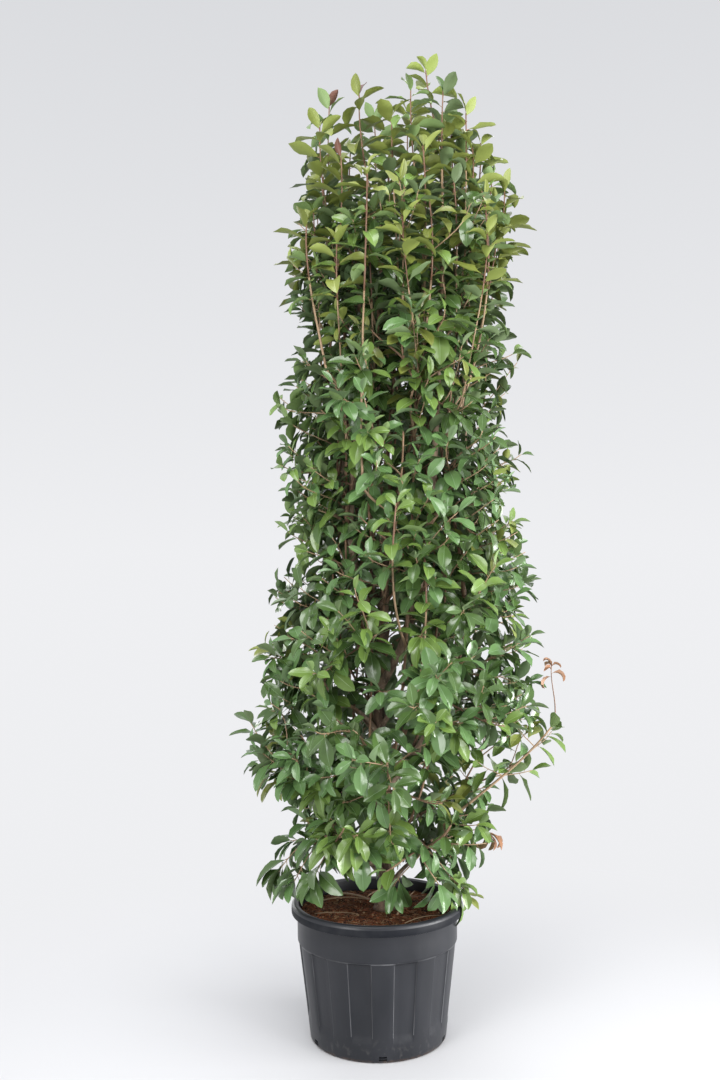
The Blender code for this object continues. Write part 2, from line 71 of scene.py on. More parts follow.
# Nursery pot: one injection moulding of black polypropylene, with eleven panels pressed in between
# eleven proud ones to stiffen the wall, a rolled lip to lift it by, and five drain slots at the foot.
POT_HEIGHT = 0.400
LIP_RADIUS = 0.2625
COLLAR_RADIUS = 0.2445
BASE_RADIUS = 0.206
WALL_SLOPE = 0.1226
WALL = 0.0035
FLOOR_TOP = 0.0045
PEAT_TOP = 0.372
WALL_RINGS = (6, 20, 36, 48, 54, 60, 66, 72, 78, 84, 110, 150, 190, 230, 262, 276, 281.5, 283.5)
UPPER_RINGS = (
    (COLLAR_RADIUS, ((-0.0022, 0.2875), (-0.0010, 0.2895), (-0.0006, 0.294), (-0.0002, 0.330), (0, 0.362))),
    (COLLAR_RADIUS, ((0.0008, 0.3662), (0.0040, 0.3676))),
    (LIP_RADIUS, ((-0.0040, 0.3680), (-0.0012, 0.3692), (-0.0001, 0.3722), (0, 0.3800), (-0.0002, 0.3885))),
    (LIP_RADIUS, ((-0.0016, 0.3945), (-0.0048, 0.3985), (-0.0092, POT_HEIGHT), (-0.0140, 0.3993))),
    (COLLAR_RADIUS - WALL, ((0.0004, 0.3962), (-0.0006, 0.388), (-0.0020, 0.366), (-0.0030, 0.320))),
)
FLUTES = 11
FLUTE_DEPTH = 0.0054
FLUTE_RAMP = math.radians(1.7)
FLUTE_TURN = math.radians(-90 + 2.7)
FLUTE_FOOT, FOOT_RUN = 0.048, 0.036
FLUTE_HEAD, HEAD_RUN = 0.2885, 0.007
RAMP_STOPS = ((0, 0.0), (0.25, 0.12), (0.5, 0.5), (0.75, 0.88), (1, 1.0))
DRAIN_PANELS = (0, 2, 4, 7, 9)
DRAIN_SILLS = (0.0085, 0.0152)
DRAIN_SIZE = (0.011, 0.023, 0.0052)
LIP_BAND = (0.3695, 0.3900)
PANEL_BAND = (0.070, 0.284)
COLLAR_BAND = (0.2860, 0.2890)
EDGE_SLANT = 0.42
LIP, EDGE = 1, 2


def pot_radius(height):
    """Radius of the proud panels at a height."""
    return BASE_RADIUS + WALL_SLOPE * height


def pressed(height):
    """Share of the full depth to which the recessed panels are pressed at a height."""
    foot = min(1.0, max(0.0, (height - FLUTE_FOOT) / FOOT_RUN))
    head = min(1.0, max(0.0, (FLUTE_HEAD - height) / HEAD_RUN))
    return foot * foot * (3 - 2 * foot) * head


def spun(profile, columns):
    """Edit mesh of a profile spun once round the pot's axis."""
    shape = bmesh.new()
    points = [shape.verts.new((radius, 0, height)) for radius, height in profile]
    edges = [shape.edges.new(pair) for pair in zip(points, points[1:])]
    bmesh.ops.spin(shape, geom=points + edges, axis=(0, 0, 1), angle=math.tau, steps=columns, use_merge=True)
    bmesh.ops.remove_doubles(shape, verts=shape.verts, dist=1e-6)
    return shape


def frozen(name, shape):
    """Mesh made from an edit mesh, which is freed."""
    mesh = bpy.data.meshes.new(name)
    shape.to_mesh(mesh)
    shape.free()
    return mesh


def seat(name, shape, materials, nodes=()):
    """Makes an edit mesh a finished piece of the plant that stands for the given solids."""
    mesh = frozen(name, shape)
    for material in materials:
        mesh.materials.append(material)
    mesh.shade_smooth()
    obj = placed(name, mesh)
    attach(obj, "root")
    if nodes:
        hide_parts(*nodes)
    return obj


def finish(name, colour, roughness, specular=0.5):
    """Principled material with its plain values set, and its node tree and shader for more."""
    material = bpy.data.materials.new(name)
    material.use_nodes = True
    shader = material.node_tree.nodes["Principled BSDF"]
    shader.inputs["Base Color"].default_value = (*colour, 1.0)
    shader.inputs["Roughness"].default_value = roughness
    shader.inputs["Specular IOR Level"].default_value = specular
    return material, material.node_tree, shader


def fed(tree, kind, inputs):
    """Outputs of a new shader node, whose inputs are each fed from a socket or set to a plain value."""
    node = tree.nodes.new("ShaderNode" + kind)
    if kind == "Mix":
        node.data_type = "RGBA"
    for name, value in inputs.items():
        if isinstance(value, bpy.types.NodeSocket):
            tree.links.new(value, node.inputs[name])
        else:
            node.inputs[name].default_value = value
    return node.outputs


def speckle(tree, scale, detail, stretch=(1, 1, 1)):
    """Noise over the piece's own place, stretched along its axes."""
    place = fed(tree, "TexCoord", {})["Object"]
    spread = fed(tree, "Mapping", {"Vector": place, "Scale": stretch})["Vector"]
    return fed(tree, "TexNoise", {"Vector": spread, "Scale": scale, "Detail": detail})["Fac"]


def ranged(tree, value, low, high, to_low=0.0, to_high=1.0):
    """A value carried from one range to another and held at its ends."""
    ends = {"From Min": low, "From Max": high, "To Min": to_low, "To Max": to_high}
    return fed(tree, "MapRange", {"Value": value, **ends})["Result"]


def product(tree, first, second):
    """Two shares multiplied."""
    share = fed(tree, "Math", {0: first, 1: second})["Value"]
    share.node.operation = "MULTIPLY"
    return share


def tinted(tree, share, below, above):
    """Colour between two, each a plain colour or a socket."""
    pair = [(*colour, 1.0) if isinstance(colour, tuple) else colour for colour in (below, above)]
    return fed(tree, "Mix", {"Factor": share, "A": pair[0], "B": pair[1]})["Result"]


def coloured(tree, shader, share, below, above):
    """Gives a shader the colour between two."""
    tree.links.new(tinted(tree, share, below, above), shader.inputs["Base Color"])


def roughened(tree, shader, height, distance, strength):
    """Bump from a height socket."""
    bump = fed(tree, "Bump", {"Height": height, "Distance": distance, "Strength": strength})
    tree.links.new(bump["Normal"], shader.inputs["Normal"])


def moulded(name, colour, roughness, specular=0.5):
    """Plastic with the fine grain of its mould."""
    material, tree, shader = finish(name, colour, roughness, specular)
    roughened(tree, shader, speckle(tree, 420.0, 3.0), 0.0004, 0.25)
    return material, tree, shader


pot_profile = [(0, 0), (0.190, 0), (0.199, 0.0004), (0.2035, 0.0018)]
pot_profile += [(pot_radius(height / 1000), height / 1000) for height in WALL_RINGS]
pot_profile.append((pot_radius(0.2855) + 0.0006, 0.2855))
pot_profile += [(base + step, height) for base, rings in UPPER_RINGS for step, height in rings]
pot_profile += [(COLLAR_RADIUS - 0.0160, 0.290), (pot_radius(FLOOR_TOP) - 0.0080, FLOOR_TOP), (0, FLOOR_TOP)]
flat_turn = math.pi / FLUTES - FLUTE_RAMP
flute_stops = []
for start, before, after in ((0.0, 0, 1), (math.pi / FLUTES, 1, 0)):
    flute_stops += [(start + FLUTE_RAMP * share, abs(before - depth)) for share, depth in RAMP_STOPS]
    flute_stops += [(start + FLUTE_RAMP + flat_turn * part / 4, after) for part in (1, 2, 3)]
pot_columns = FLUTES * len(flute_stops)
pot_shape = spun(pot_profile, pot_columns)
for vert in pot_shape.verts:
    radius = math.hypot(vert.co.x, vert.co.y)
    if radius < 1e-5:
        continue
    column = round(math.atan2(vert.co.y, vert.co.x) * pot_columns / math.tau) % pot_columns
    flute, stop = divmod(column, len(flute_stops))
    turn, depth = flute_stops[stop]
    if radius > pot_radius(vert.co.z) - 0.004:
        radius -= FLUTE_DEPTH * depth * pressed(vert.co.z)
    angle = FLUTE_TURN + flat_turn / 2 + flute * math.tau / FLUTES + turn
    vert.co.x = radius * math.cos(angle)
    vert.co.y = radius * math.sin(angle)
bmesh.ops.recalc_face_normals(pot_shape, faces=pot_shape.faces)

plastic, tree, shader = moulded("black_polypropylene", (0.017, 0.018, 0.022), 0.34, 0.34)
film = speckle(tree, 9.0, 6.0, (1, 1, 0.5))
scuffs = speckle(tree, 62.0, 9.0, (1, 1, 0.7))
level = fed(tree, "SeparateXYZ", {"Vector": fed(tree, "TexCoord", {})["Object"]})["Z"]
dust = product(tree, ranged(tree, scuffs, 0.56, 0.94), ranged(tree, level, 0.0, 0.09, 1.0, 0.0))
soil = product(tree, ranged(tree, level, 0.002, 0.011, 1.0, 0.0), ranged(tree, scuffs, 0.36, 0.60))
handled = tinted(tree, ranged(tree, film, 0.35, 0.75), (0.009, 0.010, 0.013), (0.017, 0.018, 0.022))
coloured(tree, shader, soil, tinted(tree, dust, handled, (0.085, 0.081, 0.077)), (0.060, 0.034, 0.022))
tree.links.new(ranged(tree, film, 0.30, 0.72, 0.32, 0.46), shader.inputs["Roughness"])

# Darker plastic for the lip's band, with a weaker, rougher shine: its darker colour is painted shade,
# standing for the dark room that the lip's upright face reflects. The mottle in it is random.
lip_plastic, tree, shader = moulded("lip_polypropylene", (0.015, 0.016, 0.020), 0.55, 0.13)
lip_shade_mottle = ranged(tree, speckle(tree, 26.0, 5.0), 0.40, 0.72)
coloured(tree, shader, lip_shade_mottle, (0.007, 0.008, 0.011), (0.016, 0.017, 0.020))
# Lighter plastic for the flutes' side walls and the collar's shoulder: painted highlight, the bright lines
# that light draws along the pot's folds, mottled at random.
edge_highlight_plastic, tree, shader = moulded("edge_highlight_polypropylene", (0.080, 0.083, 0.090), 0.40)
ridge_wear_and_edge_highlight = ranged(tree, speckle(tree, 14.0, 5.0, (1, 1, 0.4)), 0.38, 0.66)
coloured(tree, shader, ridge_wear_and_edge_highlight, (0.014, 0.015, 0.018), (0.090, 0.092, 0.098))
# The lip's band takes the darker lip plastic (painted shade), and the flutes' side walls and the collar's
# shoulder take the lighter plastic (painted highlight).
for face in pot_shape.faces:
    middle = face.calc_center_median()
    out = middle.xy.length
    slant = abs(face.normal.dot(Vector((-middle.y, middle.x, 0)).normalized()))
    wall_edge = out > pot_radius(middle.z) - 0.003 and slant > EDGE_SLANT
    if LIP_BAND[0] < middle.z < LIP_BAND[1] and out > LIP_RADIUS - 0.003:
        face.material_index = LIP
    elif PANEL_BAND[0] < middle.z < PANEL_BAND[1] and wall_edge:
        face.material_index = EDGE
    elif COLLAR_BAND[0] < middle.z < COLLAR_BAND[1] and out > COLLAR_RADIUS - 0.004:
        face.material_index = EDGE

pot_shell = seat("pot_shell", pot_shape, [plastic, lip_plastic, edge_highlight_plastic], ["pot"])
pot_shell.data.set_sharp_from_angle(angle=math.radians(42))
slot_shape = bmesh.new()
for panel in DRAIN_PANELS:
    panel_turn = Matrix.Rotation(FLUTE_TURN + panel * math.tau / FLUTES, 4, "Z")
    for sill in DRAIN_SILLS:
        slot_place = Matrix.Translation((BASE_RADIUS, 0, sill + DRAIN_SIZE[2] / 2))
        slot_size = Matrix.Diagonal((*DRAIN_SIZE, 1))
        bmesh.ops.create_cube(slot_shape, size=1.0, matrix=panel_turn @ slot_place @ slot_size)
slot_cutter = placed("drain_slots", frozen("drain_slots", slot_shape))
drains = pot_shell.modifiers.new("drains", "BOOLEAN")
drains.operation = "DIFFERENCE"
drains.object = slot_cutter
graph = bpy.context.evaluated_depsgraph_get()
drained = bpy.data.meshes.new_from_object(pot_shell.evaluated_get(graph), depsgraph=graph)
pot_shell.modifiers.clear()
pot_shell.data = drained
bpy.data.objects.remove(slot_cutter, do_unlink=True)

# Peat: a moist, fibrous brown potting mix, filled to two fingers' width under the lip's edge and settled
# into lumps, with coarse red-brown fibres and bark crumbs on top.
PEAT_RADIUS = COLLAR_RADIUS - WALL - 0.0014
PEAT_FOOT = PEAT_TOP - 0.030
PEAT_RINGS = 64
PEAT_COLUMNS = 220
FIBRES = 1900
CRUMBS = 420
LITTER = (
    ("red_fibre", (0.230, 0.070, 0.026), 0.9),
    ("tan_fibre", (0.300, 0.190, 0.100), 0.9),
    ("brown_fibre", (0.095, 0.040, 0.018), 0.9),
    ("dark_crumb", (0.016, 0.010, 0.008), 0.95),
)
Limb = namedtuple("Limb", "path radii first last")


def on_peat(across, deep, lift=0.0):
    """Point of the peat's lumpy surface at a place in plan, or a little above it."""
    lumps = noise.noise(Vector((across * 24, deep * 24, 1.3)))
    crumbs = noise.noise(Vector((across * 95, deep * 95, 7.7)))
    fine = noise.noise(Vector((across * 260, deep * 260, 3.1)))
    fall = max(0.0, math.hypot(across, deep) - 0.19) * 0.09
    level = PEAT_TOP - 0.004 + 0.0065 * lumps + 0.0030 * crumbs + 0.0014 * fine - fall
    return Vector((across, deep, level + lift))


def rod(branch, sides):
    """Edit mesh of a limb: a closed, tapering round rod, square to the limb's end directions."""
    path, radii, first, last = branch
    between = [(after - before).normalized() for before, after in zip(path, path[2:])]
    headings = [first, *between, last]
    shape = bmesh.new()
    facing = Vector((0, 0, 1)).rotation_difference(first).to_matrix().to_4x4()
    foot = Matrix.Translation(path[0]) @ facing
    bmesh.ops.create_circle(shape, cap_ends=True, segments=sides, radius=radii[0], matrix=foot)
    cap = list(shape.faces)
    for step in range(1, len(path)):
        grown = bmesh.ops.extrude_face_region(shape, geom=cap)["geom"]
        if step > 1:
            bmesh.ops.delete(shape, geom=cap, context="FACES_ONLY")
        cap = [item for item in grown if isinstance(item, bmesh.types.BMFace)]
        ring = [item for item in grown if isinstance(item, bmesh.types.BMVert)]
        swing = headings[step - 1].rotation_difference(headings[step]).to_matrix().to_4x4()
        taper = Matrix.Scale(radii[step] / radii[step - 1], 4)
        move = Matrix.Translation(path[step]) @ swing @ taper @ Matrix.Translation(-path[step - 1])
        bmesh.ops.transform(shape, matrix=move, verts=ring)
    bmesh.ops.recalc_face_normals(shape, faces=shape.faces)
    return shape


def gather(whole, part, material=0):
    """Adds a small edit mesh to a big one, in one of its materials, and frees the small one."""
    for face in part.faces:
        face.material_index = material
        face.smooth = True
    mesh = frozen("part", part)
    whole.from_mesh(mesh)
    bpy.data.meshes.remove(mesh)


def peat_spot():
    """Random place in plan on the peat."""
    turn = peat_draw.uniform(0, math.tau)
    out = (PEAT_RADIUS - 0.008) * math.sqrt(peat_draw.random())
    return out * math.cos(turn), out * math.sin(turn)


peat_profile = [(PEAT_RADIUS * ring / PEAT_RINGS, PEAT_TOP) for ring in range(PEAT_RINGS + 1)]
peat_profile += [(PEAT_RADIUS - 0.001, PEAT_FOOT), (0, PEAT_FOOT)]
peat_shape = spun(peat_profile, PEAT_COLUMNS)
for vert in peat_shape.verts:
    if vert.co.z > PEAT_TOP - 0.001:
        vert.co = on_peat(vert.co.x, vert.co.y)
bmesh.ops.recalc_face_normals(peat_shape, faces=peat_shape.faces)
peat, tree, shader = finish("moist_peat", (0.060, 0.030, 0.017), 0.95, 0.20)
clods = speckle(tree, 38.0, 8.0)
grains = speckle(tree, 190.0, 4.0)
earth = tinted(tree, ranged(tree, clods, 0.40, 0.62), (0.020, 0.009, 0.004), (0.135, 0.048, 0.017))
coloured(tree, shader, ranged(tree, grains, 0.52, 0.68), earth, (0.230, 0.094, 0.038))
roughened(tree, shader, grains, 0.003, 0.9)
seat("peat_surface", peat_shape, [peat], ["compost"])

peat_draw = random.Random(17)
litter = bmesh.new()
for fibre in range(FIBRES):
    spot = Vector((*peat_spot(), 0))
    lie = peat_draw.uniform(0, math.tau)
    along = Vector((math.cos(lie), math.sin(lie), 0)) * peat_draw.uniform(0.004, 0.013)
    ends = []
    for place in (spot - along, spot, spot + along):
        place = place * min(1.0, (PEAT_RADIUS - 0.004) / max(1e-6, place.length))
        ends.append(on_peat(place.x, place.y, 0.0005 + peat_draw.uniform(0, 0.0022)))
    if (ends[2] - ends[0]).length < 0.003 or (ends[1] - ends[0]).length < 0.001:
        continue
    thick = peat_draw.uniform(0.0003, 0.0008)
    first, last = ((after - before).normalized() for before, after in zip(ends, ends[1:]))
    strand = rod(Limb(ends, (thick, thick, thick * 0.5), first, last), 3)
    gather(litter, strand, peat_draw.choices((0, 1, 2), (0.5, 0.2, 0.3))[0])
for crumb in range(CRUMBS):
    across, deep = peat_spot()
    lump = bmesh.new()
    size = peat_draw.uniform(0.0015, 0.0042)
    spin = Matrix.Rotation(peat_draw.uniform(0, math.tau), 4, "Z")
    spin = spin @ Matrix.Rotation(peat_draw.uniform(-0.5, 0.5), 4, "X")
    flat = Matrix.Diagonal((size * peat_draw.uniform(0.8, 2.0), size, size * 0.5, 1))
    at_place = Matrix.Translation(on_peat(across, deep, 0.0008))
    bmesh.ops.create_icosphere(lump, subdivisions=1, radius=1.0, matrix=at_place @ spin @ flat)
    gather(litter, lump, peat_draw.choices((0, 1, 3), (0.4, 0.2, 0.4))[0])
seat("peat_litter", litter, [finish(*row)[0] for row in LITTER])

# Trunk, leaders and boughs: live wood in brown-grey bark with fine upright furrows. The trunk stands
# off centre in the peat, five leaders leave it for the top, and twelve boughs leave it lower down.
UP = Vector((0, 0, 1))
TRUNK_FOOT = (0.024, 0.0, PEAT_TOP + 0.0003)
TRUNK_TOP = 2.22
TRUNK_RINGS = 190
TRUNK_RADIUS = 0.0235
TRUNK_TIP_RADIUS = 0.0080
FLARE = 0.014
FLARE_HEIGHT = 0.025
SWAY = 0.011
SWAY_TURNS = (7.5, 5.1)
LEADERS = (
    ("right", 0.74, 12, 0.21, 2.18),
    ("back", 0.98, 92, 0.20, 2.22),
    ("front_right", 1.05, 304, 0.19, 2.20),
    ("front_left", 1.24, 218, 0.17, 2.16),
    ("back_left", 1.30, 155, 0.20, 2.14),
)
CROWN = (
    (0.38, -0.01, 0.33), (0.60, 0.01, 0.37), (0.90, 0.085, 0.570),
    (1.10, 0.09, 0.47), (1.40, 0.13, 0.43), (1.60, 0.08, 0.39),
    (1.87, 0.09, 0.42), (2.35, 0.11, 0.39), (2.55, 0.125, 0.41),
    (2.75, 0.115, 0.35), (2.95, 0.08, 0.26), (3.05, 0.10, 0.20),
    (3.08, 0.15, 0.10),
)
TIERS = (
    ("skirt", 0.16, 45),
    ("low", 0.50, 0),
    ("waist", 0.80, 45),
    ("middle", 1.12, 0),
    ("chest", 1.44, 45),
    ("upper", 1.76, 0),
    ("crest", 2.10, 0),
)
SIDES = ("right", "back_right", "back", "back_left", "left", "front_left", "front", "front_right")
LEADER_RADII = (0.0125, 0.0070)
BOUGH_TIERS = {"skirt": 0.42, "low": 0.56, "waist": 0.84}
BOUGH_RADII = (0.0085, 0.0055)
BOUGH_REACH = 0.136
BOUGH_STEP = 0.025
MASS_REACH = 0.22


def bearing(turn, rise):
    """Unit vector at a turn about the trunk and a rise above the level, both in degrees."""
    turn, rise = math.radians(turn), math.radians(rise)
    return Vector((math.cos(rise) * math.cos(turn), math.cos(rise) * math.sin(turn), math.sin(rise)))


def at_level(rows, height, beyond):
    """Numbers between a table's rows at a height, or those given for beyond its last row."""
    for low, high in zip(rows, rows[1:]):
        if height <= high[0]:
            share = max(0.0, (height - low[0]) / (high[0] - low[0]))
            return [below + (above - below) * share for below, above in zip(low[1:], high[1:])]
    return beyond


def crown_at(height):
    """Middle across and half width of the crown at a height."""
    return at_level(CROWN, height, (CROWN[-1][1], 0.0))


def limb(start, first, end, last, radius, tip_radius, points):
    """A limb's path, radii and end directions, on one smooth bend from start to end."""
    handle = (end - start).length / 3
    path = interpolate_bezier(start, start + first * handle, end - last * handle, end, points)
    radii = [radius + (tip_radius - radius) * step / (points - 1) for step in range(points)]
    return Limb(path, radii, first, last)


def at_height(branch, height):
    """Point on a limb's middle line at a height."""
    for low, high in zip(branch.path, branch.path[1:]):
        if low.z <= height <= high.z:
            return low.lerp(high, (height - low.z) / (high.z - low.z))
    return branch.path[-1].copy()


def collared(branch, swell, reach):
    """A limb with the collar that it grows where it leaves its parent."""
    travelled = 0.0
    for step, point in enumerate(branch.path):
        if step:
            travelled += (point - branch.path[step - 1]).length
        branch.radii[step] *= 1 + swell * math.exp(-travelled / reach)
    return branch


trunk = Limb([], [], UP, UP)
length = TRUNK_TOP - TRUNK_FOOT[2]
for ring in range(TRUNK_RINGS + 1):
    rise = length * ring / TRUNK_RINGS
    across, deep = (foot + SWAY * math.sin(rise * turns) for foot, turns in zip(TRUNK_FOOT, SWAY_TURNS))
    trunk.path.append(Vector((across, deep, TRUNK_FOOT[2] + rise)))
    taper = (TRUNK_TIP_RADIUS - TRUNK_RADIUS) * rise / length
    trunk.radii.append(TRUNK_RADIUS + taper + FLARE * math.exp(-rise / FLARE_HEIGHT))
limbs = {"trunk": trunk}
for name, height, turn, out, top in LEADERS:
    end = bearing(turn, 0) * out + Vector((crown_at(top)[0], 0, top))
    start = at_height(trunk, height)
    leader = limb(start, bearing(turn, 38), end, bearing(turn, 84), *LEADER_RADII, 130)
    limbs["leader_" + name] = collared(leader, 0.5, 0.035)

masses = []
for tier, (tier_name, _, first_turn) in enumerate(TIERS[:-1]):
    for quarter in range(4):
        turn = first_turn + quarter * 90
        name = tier_name + "_" + SIDES[round(turn / 45) % 8]
        masses.append({"name": name, "tier": tier, "turn": turn, "centre": bearing(turn, 0) * MASS_REACH})
        if tier_name in BOUGH_TIERS:
            start = at_height(trunk, BOUGH_TIERS[tier_name] + BOUGH_STEP * quarter)
            rises = (44, 18) if tier_name == "skirt" else (56, 30)
            first, last = (bearing(turn, rise) for rise in rises)
            end = start + (first + last).normalized() * BOUGH_REACH
            limbs["bough_" + name] = collared(limb(start, first, end, last, *BOUGH_RADII, 26), 0.5, 0.02)
for name in ["trunk", *("leader_" + row[0] for row in LEADERS)]:
    tip = limbs[name].path[-1]
    centre = Vector((tip.x - crown_at(tip.z)[0], tip.y, 0))
    crest = "crest_" + name.removeprefix("leader_").replace("trunk", "middle")
    masses.append({"name": crest, "tier": len(TIERS) - 1, "turn": 0.0, "centre": centre, "leader": name})


def furrowed(shape, branch, depth):
    """Pushes a limb's surface in and out in furrows that run up it."""
    for vert in shape.verts:
        nearest = min(branch.path[::6], key=lambda point: (point - vert.co).length_squared)
        outward = vert.co - nearest
        outward.z *= 0.2
        spot = vert.co
        furrow = noise.noise(Vector((spot.x * 190, spot.y * 190, spot.z * 22)))
        knot = noise.noise(Vector((spot.x * 30, spot.y * 30, spot.z * 16 + 5)))
        vert.co += outward.normalized() * depth * (furrow + 1.3 * knot - 0.4)


def bark_finish(name, deep, ridge_wear_and_edge_highlight, pale):
    """Bark with upright streaks between a furrow's dark and a ridge's worn colour."""
    material, tree, shader = finish(name, ridge_wear_and_edge_highlight, 0.86)
    streak = speckle(tree, 46.0, 6.0, (1, 1, 0.16))
    fleck = speckle(tree, 120.0, 5.0, (1, 1, 0.6))
    ground = tinted(tree, ranged(tree, streak, 0.36, 0.64), deep, ridge_wear_and_edge_highlight)
    coloured(tree, shader, ranged(tree, fleck, 0.56, 0.74), ground, pale)
    roughened(tree, shader, streak, 0.0025, 0.8)
    return material


trunk_bark = bark_finish("trunk_bark", (0.050, 0.031, 0.020), (0.195, 0.128, 0.085), (0.300, 0.225, 0.162))
leader_bark = bark_finish("leader_bark", (0.110, 0.075, 0.050), (0.300, 0.215, 0.150), (0.400, 0.320, 0.240))
trunk_shape = rod(trunk, 26)
furrowed(trunk_shape, trunk, 0.0011)
seat("trunk_bark", trunk_shape, [trunk_bark], ["trunk"])
for group, sides in (("leader", 16), ("bough", 12)):
    joined = bmesh.new()
    members = [name for name in limbs if name.startswith(group + "_")]
    for name in members:
        shape = rod(limbs[name], sides)
        furrowed(shape, limbs[name], 0.0006)
        gather(joined, shape)
    seat(group + "s_bark", joined, [leader_bark], members)

# Twigs: one to three years old, in brown bark. Each mass of the crown has a stem that carries on from a
# bough, a leader or the trunk, with twigs that fan out from it, and nearly bare risers climb inside.
GOLDEN_TURN = 137.508
RISERS = 34
SOURCE_TWIGS = ((77, 0.47, 2.50, 0.150), (6, 0.85, 2.25, 0.290))
BORDER_RISE = 0.5
BORDER_WAVE = 0.07
TAN_WOOD, RED_WOOD = 1, 2


def mass_of(point):
    """The mass whose space holds a point: its tier by rising borders, then the nearest centre in plan."""
    middle = crown_at(point.z)[0]
    wave = BORDER_WAVE * math.sin(2 * math.atan2(point.y, point.x - middle))
    level = point.z - BORDER_RISE * math.hypot(point.x - middle, point.y) - wave
    tier = max((index for index, row in enumerate(TIERS) if row[1] <= level), default=0)
    spot = Vector((point.x - middle, point.y, 0))
    rivals = [mass for mass in masses if mass["tier"] == tier]
    return min(rivals, key=lambda mass: (mass["centre"] - spot).length)["name"]


def stem_of(mass):
    """Stem of a mass, growing on from a limb's tip or out of the side of the nearest upright limb."""
    tier_name, low, _ = TIERS[mass["tier"]]
    turn = mass["turn"]
    if tier_name == "crest":
        holder = limbs[mass["leader"]]
        start = holder.path[-1]
        end = start + (holder.last + UP).normalized() * 0.30
        return limb(start, holder.last, end, UP, holder.radii[-1], 0.0038, 12)
    if tier_name in BOUGH_TIERS:
        holder = limbs["bough_" + mass["name"]]
        start = holder.path[-1]
        end = start + bearing(turn, 34) * 0.17
        return limb(start, holder.last, end, bearing(turn, 60), 0.0055, 0.0032, 10)
    level = low + 0.10
    goal = mass["centre"] + Vector((crown_at(level)[0], 0, level + 0.20))
    uprights = [
        branch
        for name, branch in limbs.items()
        if not name.startswith("bough_") and branch.path[0].z + 0.12 < level < branch.path[-1].z
    ]
    parent = min(uprights, key=lambda branch: (at_height(branch, level) - goal).xy.length)
    stem = limb(at_height(parent, level), bearing(turn, 40), goal, bearing(turn, 66), 0.0070, 0.0032, 14)
    return collared(stem, 0.4, 0.02)


twig_draw = random.Random(41)
footholds = {mass["name"]: [] for mass in masses}
twig_wood = bmesh.new()
twig_ends = []


def add_wood(branch, sides, material=0):
    """Adds a limb to the twig wood, in one of its barks."""
    gather(twig_wood, rod(branch, sides), material)
    return branch


def grow(branch, mass_name, sides):
    """Grows a limb into the twig wood, lets later sprays stand on it and notes its tip for leaves."""
    path = add_wood(branch, sides).path
    twig_ends.append(branch)
    for step in range(len(path) // 4, len(path)):
        along = (path[step] - path[step - 1]).normalized() if step else branch.first
        footholds[mass_name or mass_of(path[step])].append((path[step], along, branch.radii[step]))


for mass in masses:
    mass["stem"] = stem_of(mass)
    grow(mass["stem"], mass["name"], 8)
for index in range(RISERS):
    height = 0.45 + 0.037 * index
    turn = index * GOLDEN_TURN + 40
    parent = trunk if index % 3 else limbs["leader_" + LEADERS[index // 3 % 5][0]]
    start = at_height(parent, max(height, parent.path[6].z))
    top = min(2.30, start.z + 0.62 + 0.25 * (index % 4))
    middle, half = crown_at(top)
    end = Vector((middle, 0, top)) + bearing(turn, 0) * half * (0.28 + 0.14 * (index % 3))
    riser = limb(start, bearing(turn, 45), end, bearing(turn, 80), 0.0058 - 0.0009 * (index % 3), 0.0028, 22)
    grow(collared(riser, 0.5, 0.02), None, 7)
for count, low, high, inset in SOURCE_TWIGS:
    for index in range(count):
        height = low + (high - low) * (index + 0.5) / count
        middle, half = crown_at(height)
        end = Vector((middle, 0, height)) + bearing(index * GOLDEN_TURN, 0) * (half - inset)
        name = mass_of(end)
        stem = next(mass["stem"] for mass in masses if mass["name"] == name)
        span = (end - stem.path[0]).xy.length
        level = min(stem.path[-1].z, max(stem.path[len(stem.path) // 3].z, end.z - 0.45 * span))
        start = at_height(stem, level)
        heading = (end - start).normalized()
        first = (heading + 0.5 * stem.last).normalized()
        last = (heading + UP * twig_draw.uniform(-0.1, 0.5)).normalized()
        grow(limb(start, first, end, last, 0.0036, 0.0020, 9), name, 6)

# Leaves: leathery evergreen blades on short stalks, dark and glossy when a year old, light and soft
# green when new, and bronze as they unfold. Each is a folded, arched blade with a pale midrib.
LEAF_ROWS = ((0.10, 0.06), (0.22, 0.45), (0.39, 0.85), (0.57, 1.0), (0.75, 0.84), (0.90, 0.43), (1.0, 0.0))
STALK_SHARE = 0.10
RIB_SHARE = 0.034
UPPER_COLUMNS = (-1.0, -0.52, -RIB_SHARE, RIB_SHARE, 0.52, 1.0)
UNDER_COLUMNS = (-1.0, -0.52, 0.0, 0.52, 1.0)
THICKNESS = 0.009
BLADE, RIB, UNDERSIDE, STALK = range(4)
LEAF_SHAPES = {
    "broad": (0.235, 0.22, 0.60, 0.16, 0.6),
    "long": (0.182, 0.30, 0.85, 0.12, 0.4),
    "flat": (0.225, 0.10, 0.30, 0.20, 0.3),
    "arched": (0.200, 0.35, 1.25, 0.12, 0.5),
    "recurved": (0.215, 0.30, 1.75, 0.10, 0.5),
    "turned": (0.212, 0.25, 0.65, 0.16, 0.5, 0.5),
    "turned_back": (0.205, 0.28, 0.80, 0.16, 0.5, -0.55),
    "cupped": (0.225, 0.15, 0.45, 0.16, 1.5),
    "new": (0.165, 0.65, 0.35, 0.08, 1.0),
    "curled": (0.130, 1.10, 2.40, 0.40, 3.0, 0.9),
}


